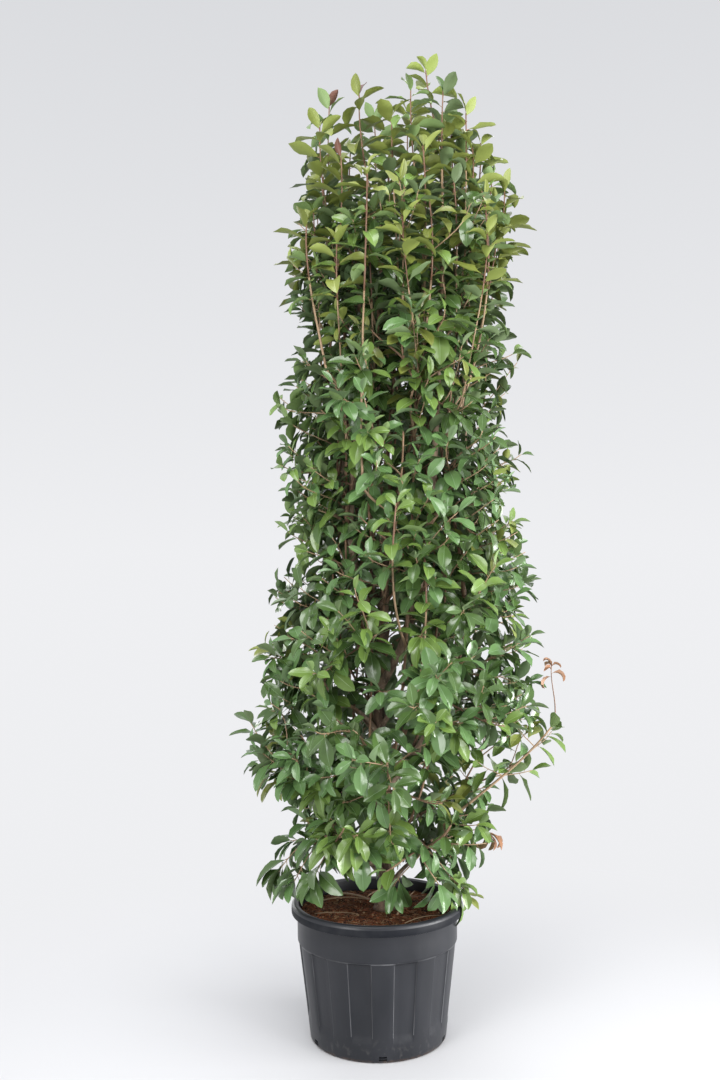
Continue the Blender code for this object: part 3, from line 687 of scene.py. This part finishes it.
def leaf_pattern(name, half_width, fold, bend, wave, cup, twist=0.0):
    """A leaf of unit length along +Y with its face to +Z: blade, midrib, underside and stalk."""

    def place(along, across, drop):
        """Point of the leaf from its share along and its share across, bent, folded and twisted."""
        turned = bend * (along - STALK_SHARE)
        lift = fold * abs(across) + cup * across * across
        lift += wave * abs(across) * math.sin(14 * along + 2 * across / half_width)
        lean = twist * along
        side = across * math.cos(lean) - lift * math.sin(lean)
        rise = across * math.sin(lean) + lift * math.cos(lean) - drop
        run = STALK_SHARE + math.sin(turned) / bend + rise * math.sin(turned)
        return Vector((side, run, rise * math.cos(turned) - (1 - math.cos(turned)) / bend))

    def skin(columns, sunk):
        """Lays one side of the blade as a grid, sunk within its rim, and gives its points."""
        strips, bands = len(columns) - 1, len(LEAF_ROWS) - 1
        points = bmesh.ops.create_grid(shape, x_segments=strips, y_segments=bands, size=1.0)["verts"]
        for vert in points:
            column = round((vert.co.x + 1) / 2 * strips)
            along, width = LEAF_ROWS[round((vert.co.y + 1) / 2 * bands)]
            drop = sunk if 0 < column < strips and width > 0 else 0.0
            vert.co = place(along, columns[column] * width * half_width, drop)
            vert.index = column
        return points

    shape = bmesh.new()
    skin(UPPER_COLUMNS, 0.0)
    for face in shape.faces:
        inner = all(vert.index in (2, 3) for vert in face.verts)
        face.material_index = RIB if inner else BLADE
    under = {face for vert in skin(UNDER_COLUMNS, THICKNESS) for face in vert.link_faces}
    for face in under:
        face.material_index = UNDERSIDE
    bmesh.ops.reverse_faces(shape, faces=list(under))
    bmesh.ops.remove_doubles(shape, verts=shape.verts, dist=1e-4)
    for edge in shape.edges:
        edge.smooth = len({face.material_index == UNDERSIDE for face in edge.link_faces}) == 1
    middle_line = [Vector((0, -0.02, 0)), Vector((0, 0.05, -0.002)), place(0.13, 0.0, 0.004)]
    lengthwise = Vector((0, 1, 0))
    gather(shape, rod(Limb(middle_line, (0.011, 0.009, 0.008), lengthwise, lengthwise), 3), STALK)
    for face in shape.faces:
        face.smooth = True
    return frozen(name, shape)


PATTERNS = {name: leaf_pattern(name, *numbers) for name, numbers in LEAF_SHAPES.items()}
HIGH_KINDS = ("broad", "broad", "flat", "arched", "recurved", "turned", "turned_back", "cupped")
GROWN_PATTERNS = (
    (0.95, ("long", "long", "arched", "turned", "turned_back", "cupped")),
    (2.20, ("broad", "broad", "flat", "turned", "turned_back", "cupped", "arched")),
    (9.00, HIGH_KINDS),
)
TONES = {
    "deep": ((0.057, 0.105, 0.027), (0.115, 0.190, 0.080), (0.115, 0.165, 0.072), 0.23),
    "sea": ((0.092, 0.172, 0.058), (0.138, 0.235, 0.104), (0.128, 0.196, 0.090), 0.23),
    "grass": ((0.118, 0.192, 0.042), (0.190, 0.290, 0.100), (0.160, 0.240, 0.085), 0.27),
    "olive": ((0.138, 0.162, 0.032), (0.250, 0.280, 0.100), (0.168, 0.200, 0.042), 0.33),
    "fresh": ((0.174, 0.206, 0.042), (0.290, 0.330, 0.120), (0.210, 0.254, 0.058), 0.35),
    "lime": ((0.185, 0.232, 0.052), (0.310, 0.360, 0.130), (0.225, 0.282, 0.066), 0.38),
    "bronze": ((0.100, 0.030, 0.019), (0.160, 0.060, 0.038), (0.125, 0.050, 0.030), 0.36),
    "wilted": ((0.260, 0.130, 0.070), (0.290, 0.155, 0.085), (0.290, 0.165, 0.100), 0.70),
}
YOUNG_TONES = ("fresh", "lime", "bronze")
TONE_SHARES = (
    (0.90, {"deep": 0.26, "sea": 0.56, "grass": 0.18}),
    (1.50, {"deep": 0.38, "sea": 0.38, "grass": 0.24}),
    (2.10, {"deep": 0.56, "sea": 0.16, "grass": 0.24, "olive": 0.04}),
    (2.50, {"deep": 0.42, "sea": 0.08, "grass": 0.24, "olive": 0.19, "fresh": 0.07}),
    (9.00, {"deep": 0.22, "grass": 0.22, "olive": 0.30, "fresh": 0.26}),
)
OUTLINE = (
    (0.38, -0.350, 0.330), (0.47, -0.340, 0.340), (0.56, -0.295, 0.390),
    (0.65, -0.350, 0.400), (0.74, -0.390, 0.390), (0.83, -0.400, 0.430),
    (0.92, -0.400, 0.510), (1.02, -0.370, 0.560), (1.11, -0.365, 0.560),
    (1.20, -0.360, 0.530), (1.39, -0.320, 0.550), (1.58, -0.310, 0.480),
    (1.77, -0.330, 0.500), (1.96, -0.330, 0.470), (2.06, -0.290, 0.490),
    (2.25, -0.270, 0.450), (2.45, -0.290, 0.520), (2.65, -0.215, 0.510),
    (2.85, -0.230, 0.300), (3.05, -0.190, 0.270), (3.08, -0.050, 0.250),
)
LEVELS = ("pot", "waist", "chest", "top")
LEVEL_BORDERS = (0.86, 1.42, 2.05)
TIP_GAP = 0.002
NEW_LEAF_RUN = 0.008
UNFOLDING_RUN = 0.045
stalk_green = finish("leaf_stalk", (0.300, 0.200, 0.090), 0.5)[0]
stalk_red = finish("young_leaf_stalk", (0.260, 0.100, 0.055), 0.5)[0]
tone_mats = {}
for tone, (blade, rib, under, roughness) in TONES.items():
    upper, _, gloss = finish("leaf_" + tone, blade, roughness, 0.20)
    gloss.inputs["Coat Weight"].default_value = 0.10 if tone == "wilted" else 0.60
    gloss.inputs["Coat Roughness"].default_value = roughness - 0.02
    midrib = finish("midrib_" + tone, rib, 0.45)[0]
    underside = finish("underside_" + tone, under, 0.55)[0]
    tone_mats[tone] = [upper, midrib, underside, stalk_red if tone in YOUNG_TONES else stalk_green]
leaf_draw = random.Random(77)
foliage = {}


def outline_at(height):
    """Middle across and half width of the leaf tips' outline at a height."""
    left, right = at_level(OUTLINE, height, (0.12, 0.12))
    return (left + right) / 2, (right - left) / 2


def tone_for(height):
    """Draws the tone of a spray from the shares of its height."""
    shares = next(row for top, row in TONE_SHARES if height < top)
    return leaf_draw.choices(list(shares), list(shares.values()))[0]


def hang(pattern, tone, root, heading, face, length):
    """Hangs one leaf at a root along a heading, its face turned as near as can be to a direction."""
    side = heading.cross(face).normalized()
    turned = Matrix((side, heading, side.cross(heading))).transposed().to_4x4()
    blade = PATTERNS[pattern].copy()
    blade.transform(Matrix.Translation(root) @ turned @ Matrix.Scale(length, 4))
    level = LEVELS[sum(root.z > border for border in LEVEL_BORDERS)]
    foliage.setdefault((tone, level), bmesh.new()).from_mesh(blade)
    bpy.data.meshes.remove(blade)


def clears_pot(point):
    """Whether a point of a leaf is clear of the pot's wall and the peat."""
    out = math.hypot(point.x, point.y)
    if out > LIP_RADIUS + 0.004:
        return point.z > 0.02
    if out < COLLAR_RADIUS - 0.012:
        return point.z > PEAT_TOP + 0.008
    return point.z > POT_HEIGHT + 0.004


def strides(branch):
    """Lengths of the steps of a limb's path."""
    return [(after - before).length for before, after in zip(branch.path, branch.path[1:])]


def leafed(branch, bare, spacing, size, droop, tones, spread=(28, 72), kinds=None):
    """Leaves in a spiral from a branch's tip to its bare foot, in tones by their distance from the tip."""
    path = branch.path
    turn = leaf_draw.uniform(0, 360)
    lengths = strides(branch)
    total = sum(lengths)
    gone = TIP_GAP
    number = 0
    while gone < total - bare:
        left = total - gone
        index = 0
        while index < len(lengths) - 1 and left > lengths[index]:
            left -= lengths[index]
            index += 1
        root = path[index].lerp(path[index + 1], min(1.0, left / lengths[index]))
        along = (path[index + 1] - path[index]).normalized()
        opened = min(1.0, gone / UNFOLDING_RUN)
        angle = math.radians(spread[0] + (spread[1] - spread[0]) * opened + leaf_draw.uniform(-10, 10))
        side = along.orthogonal().normalized()
        side.rotate(Matrix.Rotation(math.radians(turn), 3, along))
        heading = along * math.cos(angle) + side * math.sin(angle) - UP * droop * opened
        heading = (heading + Vector([leaf_draw.uniform(-0.20, 0.20) for _ in range(3)])).normalized()
        outward = Vector((root.x - crown_at(root.z)[0], root.y, 0)).normalized()
        jitter = Vector([leaf_draw.uniform(-0.50, 0.50) for _ in range(3)])
        face = along * 0.35 + UP + outward * 0.45 + jitter
        length = size * (0.66 + 0.34 * opened) * leaf_draw.uniform(0.84, 1.12)
        tip = root + heading * length
        inside = tip.z < CROWN[-1][0] + 0.016
        if not kinds:
            middle_tip, half_tip = outline_at(tip.z)
            inside = inside and math.hypot(tip.x - middle_tip, tip.y) < half_tip + 0.008
        if inside and clears_pot(tip) and clears_pot(root.lerp(tip, 0.6)):
            grown = next(names for top, names in GROWN_PATTERNS if root.z < top)
            pattern = leaf_draw.choice(kinds or grown)
            if gone < NEW_LEAF_RUN and not kinds:
                pattern = "new"
            tone = next(name for reach, name in tones if gone < reach)
            hang(pattern, tone, root, heading, face, length)
        turn += GOLDEN_TURN
        number += 1
        gone += spacing * (0.35 + 0.65 * min(1.0, number / 6))


# Sprays: this and last year's side growth, which carries most of the leaves. They end all round the
# crown, a hand's width or two inside its outline, and stand on the nearest twig of their own mass.
SPRAYS = (
    ("outer", 450, 0.55, 2.55, 0.020, 0.150),
    ("inner", 190, 0.62, 2.40, 0.150, 0.320),
    ("tuft", 44, 0.62, 2.50, 0.020, 0.070),
)
SPRAY_RADII = (0.0024, 0.0012)
ANY_GROWN = ("broad", "long", "flat", "arched", "turned", "turned_back", "cupped")
OPENINGS = (
    (0.120, 0.735, 0.075, 0.090, 1.0),
    (0.350, 1.200, 0.060, 0.080, 1.0),
    (0.360, 0.860, 0.060, 0.060, 1.0),
    (-0.060, 0.500, 0.120, 0.060, 1.0),
    (0.052, 1.130, 0.074, 0.300, 0.02),
    (0.075, 1.900, 0.040, 0.240, -0.12),
)
lean_draw = random.Random(5)


def foothold(holds, goal, level=9.0, cost=0.0):
    """The nearest foothold to a goal, with a cost for each metre that it lies above a level."""
    return min(holds, key=lambda hold: (hold[0] - goal).length + cost * max(0.0, hold[0].z - level))


def spray_to(end, last, leafy, spacing, size, droop, tones, kinds=None):
    """A leafy shoot that ends at a point, grown from the nearest twig of the mass that holds it."""
    end = Vector(end)
    foot, along, thick = foothold(footholds[mass_of(end)], end - last * 0.13, end.z, 0.4)
    toward = end - foot
    if toward.length < 0.03:
        return
    first = (toward.normalized() + 0.45 * along).normalized()
    radius, tip_radius = min(SPRAY_RADII[0], thick * 0.9), SPRAY_RADII[1]
    spray = add_wood(limb(foot, first, end, last, radius, tip_radius, 7), 5, TAN_WOOD)
    leafed(spray, max(0.0, toward.length - leafy), spacing, size, droop, tones, kinds=kinds)


def in_opening(end):
    """Whether a shoot's end lies where the crown stands open, all through or only in front of a depth."""
    return any(
        abs(end.x - across) < wide and abs(end.z - level) < tall and end.y < depth
        for across, level, wide, tall, depth in OPENINGS
    )


for layer, count, low, high, least, most in SPRAYS:
    for index in range(count):
        height = low + (high - low) * (index + 0.5) / count
        middle, half = outline_at(height)
        turn = index * GOLDEN_TURN + lean_draw.uniform(-14, 14)
        outward = bearing(turn, 0)
        if layer == "tuft" and outward.y < -0.7:
            continue
        billow = 0.5 + 0.75 * noise.noise(outward * 1.7 + UP * height * 3.6) + lean_draw.uniform(-0.3, 0.3)
        inset = least + (most - least) * min(1.0, max(0.0, billow))
        end = Vector((middle, 0, height + lean_draw.uniform(-0.03, 0.03))) + outward * max(0.03, half - inset)
        lift = -0.15 + 0.55 * height + lean_draw.uniform(-0.25, 0.25)
        last = (outward + UP * lift + bearing(turn + 90, 0) * lean_draw.uniform(-0.5, 0.5)).normalized()
        thinned = height > 2.15 and layer == "outer" and index % 4 == 0
        if thinned or (in_opening(end) and index % 7):
            continue
        # Inner sprays take the dark tones: older inner leaves are darker, and the dark tones also paint the
        # shade inside the crown.
        tone = lean_draw.choice(("deep", "deep", "sea")) if layer == "inner" else tone_for(height)
        tones = [(9, tone)]
        if layer != "inner" and lean_draw.random() < (0.25 if height > 2.1 else 0.22 * abs(outward.x) ** 3):
            tones = [(0.05, lean_draw.choice(("fresh", "fresh", "olive", "olive", "lime"))), (9, tone)]
        size = 0.094 - 0.001 * height + 0.005 * (height > 2.1) + lean_draw.uniform(-0.016, 0.012)
        droop = max(0.12, 0.50 - 0.26 * height) + lean_draw.uniform(-0.24, 0.24)
        kinds = ANY_GROWN if layer == "tuft" else None
        spray_to(end, last, 0.095 + 0.050 * height, 0.0135 + 0.0040 * height, size, droop, tones, kinds)
for branch in twig_ends:
    tone = leaf_draw.choice(("deep", "deep", "sea", "grass"))
    leafed(branch, sum(strides(branch)) - 0.050, 0.016, 0.096, 0.25, [(9, tone)])

# Side shoots: ones that stand out of the outline, five at the left and one at the right, then a wilted
# spray low at the right, and rosettes of long leaves that droop over the peat and rim and up the front.
SIDE_SHOOTS = (
    ((-0.377, -0.10, 0.955), (180, 62), "deep", 0.100, 0.10),
    ((-0.350, -0.16, 0.880), (195, 30), "sea", 0.105, 0.20),
    ((-0.365, 0.05, 0.820), (172, 12), "sea", 0.110, 0.30),
    ((-0.329, -0.12, 1.185), (188, 66), "fresh", 0.085, 0.00),
    ((-0.300, -0.06, 1.090), (190, 40), "grass", 0.095, 0.10),
    ((0.480, -0.02, 0.790), (352, 20), "grass", 0.095, 0.20),
)
ROSETTES = (
    ((-0.036, -0.175, 0.605), (262, -18), "sea", 0.122),
    ((0.070, -0.165, 0.610), (296, -10), "sea", 0.114),
    ((-0.120, -0.160, 0.640), (240, -4), "grass", 0.114),
    ((-0.190, -0.150, 0.500), (226, -50), "deep", 0.124),
    ((-0.250, -0.098, 0.478), (206, -54), "sea", 0.126),
    ((-0.300, -0.015, 0.492), (186, -54), "deep", 0.128),
    ((-0.270, 0.080, 0.560), (160, -16), "sea", 0.115),
    ((-0.085, -0.270, 1.900), (245, 10), "sea", 0.116),
    ((-0.015, -0.280, 1.800), (280, 0), "grass", 0.110),
    ((0.130, -0.285, 1.215), (290, -6), "grass", 0.108),
    ((0.200, -0.270, 1.150), (310, -10), "sea", 0.104),
    ((0.042, -0.135, 0.456), (264, -46), "sea", 0.104),
    ((0.176, -0.100, 0.520), (304, -10), "sea", 0.110),
    ((0.190, -0.205, 0.470), (306, -56), "sea", 0.100),
    ((0.262, -0.080, 0.452), (338, -20), "grass", 0.098),
    ((0.262, 0.060, 0.520), (12, -6), "sea", 0.110),
    ((0.050, 0.232, 0.540), (86, -2), "sea", 0.110),
    ((-0.150, 0.190, 0.520), (124, -6), "deep", 0.110),
    ((0.190, 0.180, 0.530), (46, -4), "deep", 0.110),
)
LONG_KINDS = ("long", "arched", "turned", "turned_back")
WILTED_SPRAY = (0.350, -0.07, 0.605)
for place, aim, tone, size, droop in SIDE_SHOOTS:
    spray_to(place, bearing(*aim), 0.16, 0.022, size, droop, [(9, tone)], ANY_GROWN)
spray_to(WILTED_SPRAY, bearing(340, -40), 0.026, 0.013, 0.085, 0.9, [(9, "wilted")], ("arched", "curled"))
for place, aim, tone, size in ROSETTES:
    spray_to(place, bearing(*aim), 0.060, 0.0085, size, 0.62, [(9, tone)], LONG_KINDS)

# Right-hand bough: a bare tan branch that runs out low at the right and turns up into one thin shoot,
# whose top has wilted and curled brown, with a few light leaves on it and on four short side twigs.
TAN_BOUGH_SIDES = (
    (0.35, 150, 40, "olive"),
    (0.55, 200, 30, "grass"),
    (0.75, 20, 36, "grass"),
    (0.80, 215, 44, "fresh"),
)
LIGHT_KINDS = ("long", "arched", "turned", "broad")
bough_end = Vector((0.525, -0.12, 0.934))
wilted_top = Vector((0.530, -0.12, 1.120))
near_bough = footholds[mass_of(Vector((0.29, -0.10, 0.72)))]
foot = foothold(near_bough, Vector((0.16, -0.06, 0.62)))[0]
tan_bough = limb(foot, (bough_end - foot).normalized(), bough_end, bearing(352, 52), 0.0046, 0.0030, 18)
add_wood(tan_bough, 7, TAN_WOOD)
wilted_shoot = limb(bough_end, bearing(352, 60), wilted_top, bearing(10, 80), 0.0024, 0.0012, 9)
add_wood(wilted_shoot, 5, RED_WOOD)
leafed(wilted_shoot, 0.150, 0.010, 0.060, 0.6, [(9, "wilted")], kinds=("curled",))
for share, turn, rise, tone in TAN_BOUGH_SIDES:
    root = tan_bough.path[round(share * 17)]
    heading = bearing(turn, rise)
    side_twig = limb(root, heading, root + heading * 0.10, bearing(turn, rise + 20), 0.0018, 0.0010, 5)
    add_wood(side_twig, 5, TAN_WOOD)
    leafed(side_twig, 0.03, 0.018, 0.085, 0.1, [(9, tone)], kinds=LIGHT_KINDS)
leafed(tan_bough, (bough_end - foot).length - 0.035, 0.012, 0.095, 0.2, [(9, "grass")], kinds=LIGHT_KINDS)

# Front shoots: long tan ones that climb the front of the crown, bare below, each starting at a twig
# inside and leafy only near its tip, where its bark is still red-brown.
FRONT_SHOOTS = (
    ((-0.032, -0.24, 1.66), (-0.010, -0.330, 2.560), (110, 0.10), 0.30, "fresh"),
    ((0.115, -0.20, 1.92), (0.170, -0.300, 2.470), (40, 0.35), 0.28, "olive"),
    ((0.250, -0.16, 1.86), (0.330, -0.250, 2.520), (20, 0.45), 0.30, "grass"),
    ((-0.140, -0.19, 2.02), (-0.190, -0.240, 2.440), (150, 0.20), 0.26, "olive"),
    ((0.118, -0.22, 1.02), (0.140, -0.300, 1.450), (330, 0.20), 0.22, "grass"),
    ((0.070, -0.24, 1.24), (0.062, -0.330, 1.590), (200, 0.25), 0.22, "grass"),
)
FRONT_JOINT = 8


def two_tone(shoot, joint, sides, step):
    """Adds a shoot's wood, tan up to a joint and red-brown from there, where it sets out along a step."""
    path, radii = shoot.path, shoot.radii
    reached, onward = ((path[index] - path[index - 1]).normalized() for index in (joint, step))
    add_wood(Limb(path[: joint + 1], radii[: joint + 1], shoot.first, reached), sides, TAN_WOOD)
    add_wood(Limb(path[joint:], radii[joint:], onward, shoot.last), sides, RED_WOOD)


for low_place, high_place, (lean_turn, lean), leafy, tone in FRONT_SHOOTS:
    low_end, high_end = Vector(low_place), Vector(high_place)
    foot = foothold(footholds[mass_of(low_end)], low_end - UP * 0.1)[0]
    elbow = (UP + bearing(lean_turn, 0) * lean).normalized()
    upright = (UP - bearing(lean_turn, 0) * lean * 0.5).normalized()
    first = (low_end - foot + UP * 0.05).normalized()
    add_wood(limb(foot, first, low_end, elbow, 0.0042, 0.0038, 7), 7, TAN_WOOD)
    riser = limb(low_end, elbow, high_end, upright, 0.0038, 0.0022, 14)
    two_tone(riser, FRONT_JOINT, 7, FRONT_JOINT)
    bare = (high_end - low_end).length - leafy
    leafed(riser, bare, 0.022, 0.094, 0.14, [(0.10, tone), (9, "grass")], (24, 72), HIGH_KINDS)

# Shoot along the peat: it leaves the foot of the trunk, crosses the lip at the right and hangs its
# leaves over it. Six dead twigs lie about on the peat.
DEAD_TWIGS = (
    ((-0.157, 0.185), (-0.062, 0.160), (0.012, 0.040), 0.0042),
    ((-0.190, 0.080), (-0.110, 0.118), (-0.020, 0.095), 0.0030),
    ((-0.030, 0.130), (0.010, 0.185), (0.060, 0.215), 0.0022),
    ((0.060, -0.060), (0.092, 0.060), (0.125, 0.180), 0.0032),
    ((0.080, -0.140), (0.140, -0.090), (0.205, -0.060), 0.0018),
    ((-0.190, -0.040), (-0.120, -0.070), (-0.060, -0.050), 0.0016),
)
soil_start, soil_end = Vector((0.045, 0.015, 0.392)), Vector((0.262, -0.07, 0.428))
soil_shoot = limb(soil_start, bearing(20, 10), soil_end, bearing(330, 14), 0.0030, 0.0016, 14)
add_wood(soil_shoot, 6, RED_WOOD)
tones = [(0.012, "fresh"), (9, "grass")]
leafed(soil_shoot, 0.13, 0.014, 0.098, 0.80, tones, kinds=("long", "arched", "turned"))
for *places, thick in DEAD_TWIGS:
    start, middle, end = (on_peat(across, deep, 0.003) for across, deep in places)
    middle.z += 0.014
    first, last = (middle - start).normalized(), (end - middle).normalized()
    add_wood(limb(start, first, end, last, thick, thick * 0.5, 9), 6, TAN_WOOD)

# Tall shoots: this year's upright growth over the top of the crown, red-brown and unbranched, with
# light new leaves held up and out in a spiral, and darker old leaves near their foot.
TALL_SHOOTS = (
    (0.186, 0.00, 3.084, 0.55), (0.236, -0.06, 2.985, 0.40), (0.268, 0.06, 2.930, 0.45),
    (-0.030, -0.02, 2.995, 0.50), (-0.128, 0.04, 2.985, 0.45), (-0.155, -0.08, 2.860, 0.45),
    (0.070, -0.10, 2.895, 0.50), (0.020, 0.12, 2.975, 0.50), (0.321, -0.10, 2.780, 0.42),
    (0.400, 0.03, 2.750, 0.42), (0.425, -0.06, 2.660, 0.38), (-0.088, -0.17, 2.720, 0.45),
    (-0.005, -0.20, 2.520, 0.50), (0.130, 0.10, 2.990, 0.50), (0.160, -0.20, 2.740, 0.46),
    (0.250, -0.22, 2.620, 0.42), (0.070, 0.22, 2.860, 0.50), (0.220, 0.20, 2.880, 0.50),
    (0.340, 0.18, 2.720, 0.44), (-0.060, 0.20, 2.760, 0.46), (-0.170, 0.12, 2.720, 0.42),
    (0.140, 0.30, 2.660, 0.42), (0.000, 0.30, 2.580, 0.42), (0.280, 0.30, 2.540, 0.40),
    (0.385, -0.16, 2.500, 0.36), (0.340, -0.27, 2.440, 0.36), (0.090, -0.31, 2.480, 0.40),
    (-0.100, -0.27, 2.430, 0.38), (-0.175, -0.13, 2.570, 0.38), (-0.210, 0.02, 2.500, 0.36),
    (0.180, -0.05, 2.800, 0.46), (0.060, 0.02, 2.760, 0.46), (0.262, -0.03, 2.850, 0.44),
    (-0.080, 0.02, 2.640, 0.40), (0.430, 0.02, 2.600, 0.34), (0.410, 0.12, 2.440, 0.34),
    (0.380, -0.08, 2.560, 0.38), (-0.145, -0.10, 2.690, 0.40), (-0.165, 0.00, 2.790, 0.42),
    (0.100, -0.24, 2.600, 0.42), (0.215, 0.10, 2.930, 0.46), (0.130, -0.12, 2.960, 0.46),
    (-0.060, 0.10, 2.880, 0.44), (0.300, 0.00, 2.810, 0.40), (0.362, 0.02, 2.850, 0.40),
    (0.305, -0.08, 2.900, 0.40),
)
TALL_RADII = (0.0042, 0.0021)
TIP_LEAF = 0.056
BRONZE_TIPS = (3, 4, 11, 12)
shoot_draw = random.Random(29)
crest = [hold for mass in masses if mass["tier"] >= 5 for hold in footholds[mass["name"]]]
for index, (across, deep, top, length) in enumerate(TALL_SHOOTS):
    end = Vector((across, deep, top - TIP_LEAF))
    spot = Vector((across, deep, top - length - 0.12))
    foot, along, thick = foothold(crest, spot, spot.z + 0.1, 2)
    toward = end - foot
    last = (UP + bearing(shoot_draw.uniform(0, 360), 0) * 0.08).normalized()
    first = (toward.normalized() + 0.8 * UP).normalized()
    shoot = limb(foot, first, end, last, min(TALL_RADII[0], thick * 1.1), TALL_RADII[1], 16)
    split = max(2, round(16 * (1 - 0.45 * length / toward.length)))
    two_tone(shoot, split - 1, 6, split)
    tone = shoot_draw.choices(("fresh", "lime", "grass", "olive", "deep"), (0.30, 0.07, 0.22, 0.30, 0.11))[0]
    tip_tone = "bronze" if index in BRONZE_TIPS else tone
    old_tone = shoot_draw.choice(("deep", "deep", "grass", "olive"))
    tones = [(0.008, tip_tone), (0.17, tone), (0.30, old_tone), (9, "deep")]
    leafed(shoot, max(0.02, toward.length - length), 0.0225, 0.103, 0.06, tones, (16, 66), HIGH_KINDS)

# Deep shoots: leafy ones low at the front and the back, which reach as far out there as the solids do.
# They are the last, so the twigs and the leaves of the whole crown are then made finished pieces.
DEEP_SHOOTS = (
    ((-0.067, -0.478, 0.900), (258, 14), "sea"),
    ((0.045, -0.440, 0.815), (284, 6), "deep"),
    ((-0.165, -0.415, 0.965), (242, 24), "deep"),
    ((0.160, -0.400, 0.985), (304, 30), "grass"),
    ((0.185, 0.435, 0.850), (68, 16), "deep"),
    ((0.040, 0.425, 1.080), (92, 26), "sea"),
    ((-0.110, 0.410, 0.900), (112, 10), "deep"),
)
for place, aim, tone in DEEP_SHOOTS:
    spray_to(place, bearing(*aim), 0.16, 0.018, 0.092, 0.18, [(9, tone)], ANY_GROWN)

twig_bark = bark_finish("twig_bark", (0.110, 0.065, 0.038), (0.260, 0.160, 0.095), (0.330, 0.230, 0.150))
spray_bark = finish("spray_bark", (0.285, 0.190, 0.112), 0.62)[0]
shoot_bark = finish("shoot_bark", (0.158, 0.080, 0.046), 0.50)[0]
foliage_nodes = sorted(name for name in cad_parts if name.startswith("foliage_"))
seat("twigs", twig_wood, [twig_bark, spray_bark, shoot_bark], foliage_nodes)
for (tone, level), shape in foliage.items():
    seat("leaves_" + tone + "_" + level, shape, tone_mats[tone], foliage_nodes)

# Studio: a plain pale floor whose edge melts into an even white sky, with two tall soft lights in front
# of the plant, two above it, a small one at its right and a weak one behind it.
FLOOR_RADIUS = 4.0
FADE = (0.35, 2.1)
HORIZON = (0.86, 0.865, 0.885)
LIGHT_AIM = Vector((0.1, 0, 1.5))
SOFTBOXES = (
    ("left_front", (-3.9, -4.9, 2.0), 2.4, 3.4, 262.0),
    ("right_front", (4.4, -3.8, 1.9), 2.4, 3.4, 292.0),
    ("above_front", (-0.5, -2.1, 4.4), 2.6, 1.6, 100.0),
    ("above_back", (0.9, 1.9, 4.6), 3.0, 2.0, 28.0),
    ("right_side", (3.6, -0.9, 0.8), 1.6, 1.3, 175.0),
    ("behind", (-2.6, 4.8, 1.8), 2.4, 3.4, 55.0),
)
floor_shape = bmesh.new()
bmesh.ops.create_circle(floor_shape, cap_ends=True, segments=96, radius=FLOOR_RADIUS)
pale_paint, tree, shader = finish("pale_paint", (0.53, 0.53, 0.54), 0.60)
from_pot = tree.nodes.new("ShaderNodeVectorMath")
from_pot.operation = "LENGTH"
tree.links.new(fed(tree, "TexCoord", {})["Object"], from_pot.inputs[0])
near_pot = ranged(tree, from_pot.outputs["Value"], *FADE, 1.0, 0.0)
near_pot.node.interpolation_type = "SMOOTHSTEP"
far_light = fed(tree, "Emission", {"Color": (*HORIZON, 1.0)})["Emission"]
fade = fed(tree, "MixShader", {"Fac": near_pot, 1: far_light, 2: shader.outputs["BSDF"]})["Shader"]
tree.links.new(fade, tree.nodes["Material Output"].inputs["Surface"])
floor = placed("floor", frozen("floor", floor_shape))
floor.data.materials.append(pale_paint)

sky = bpy.data.worlds.new("sky")
sky.use_nodes = True
tree = sky.node_tree
upward = fed(tree, "SeparateXYZ", {"Vector": fed(tree, "TexCoord", {})["Generated"]})["Z"]
wall_light = tinted(tree, ranged(tree, upward, 0.05, 0.55), HORIZON, (0.70, 0.71, 0.735))
overhead = tinted(tree, ranged(tree, upward, 0.58, 0.82), wall_light, (0.95, 0.97, 1.02))
tree.links.new(overhead, tree.nodes["Background"].inputs["Color"])
bpy.context.scene.world = sky
bpy.context.scene.view_settings.view_transform = "Standard"

for name, place, width, height, watts in SOFTBOXES:
    lamp = bpy.data.lights.new(name, "AREA")
    lamp.shape = "RECTANGLE"
    lamp.size, lamp.size_y = width, height
    lamp.energy = watts
    box = placed(name, lamp)
    box.location = place
    box.rotation_euler = (LIGHT_AIM - Vector(place)).to_track_quat("-Z", "Y").to_euler()
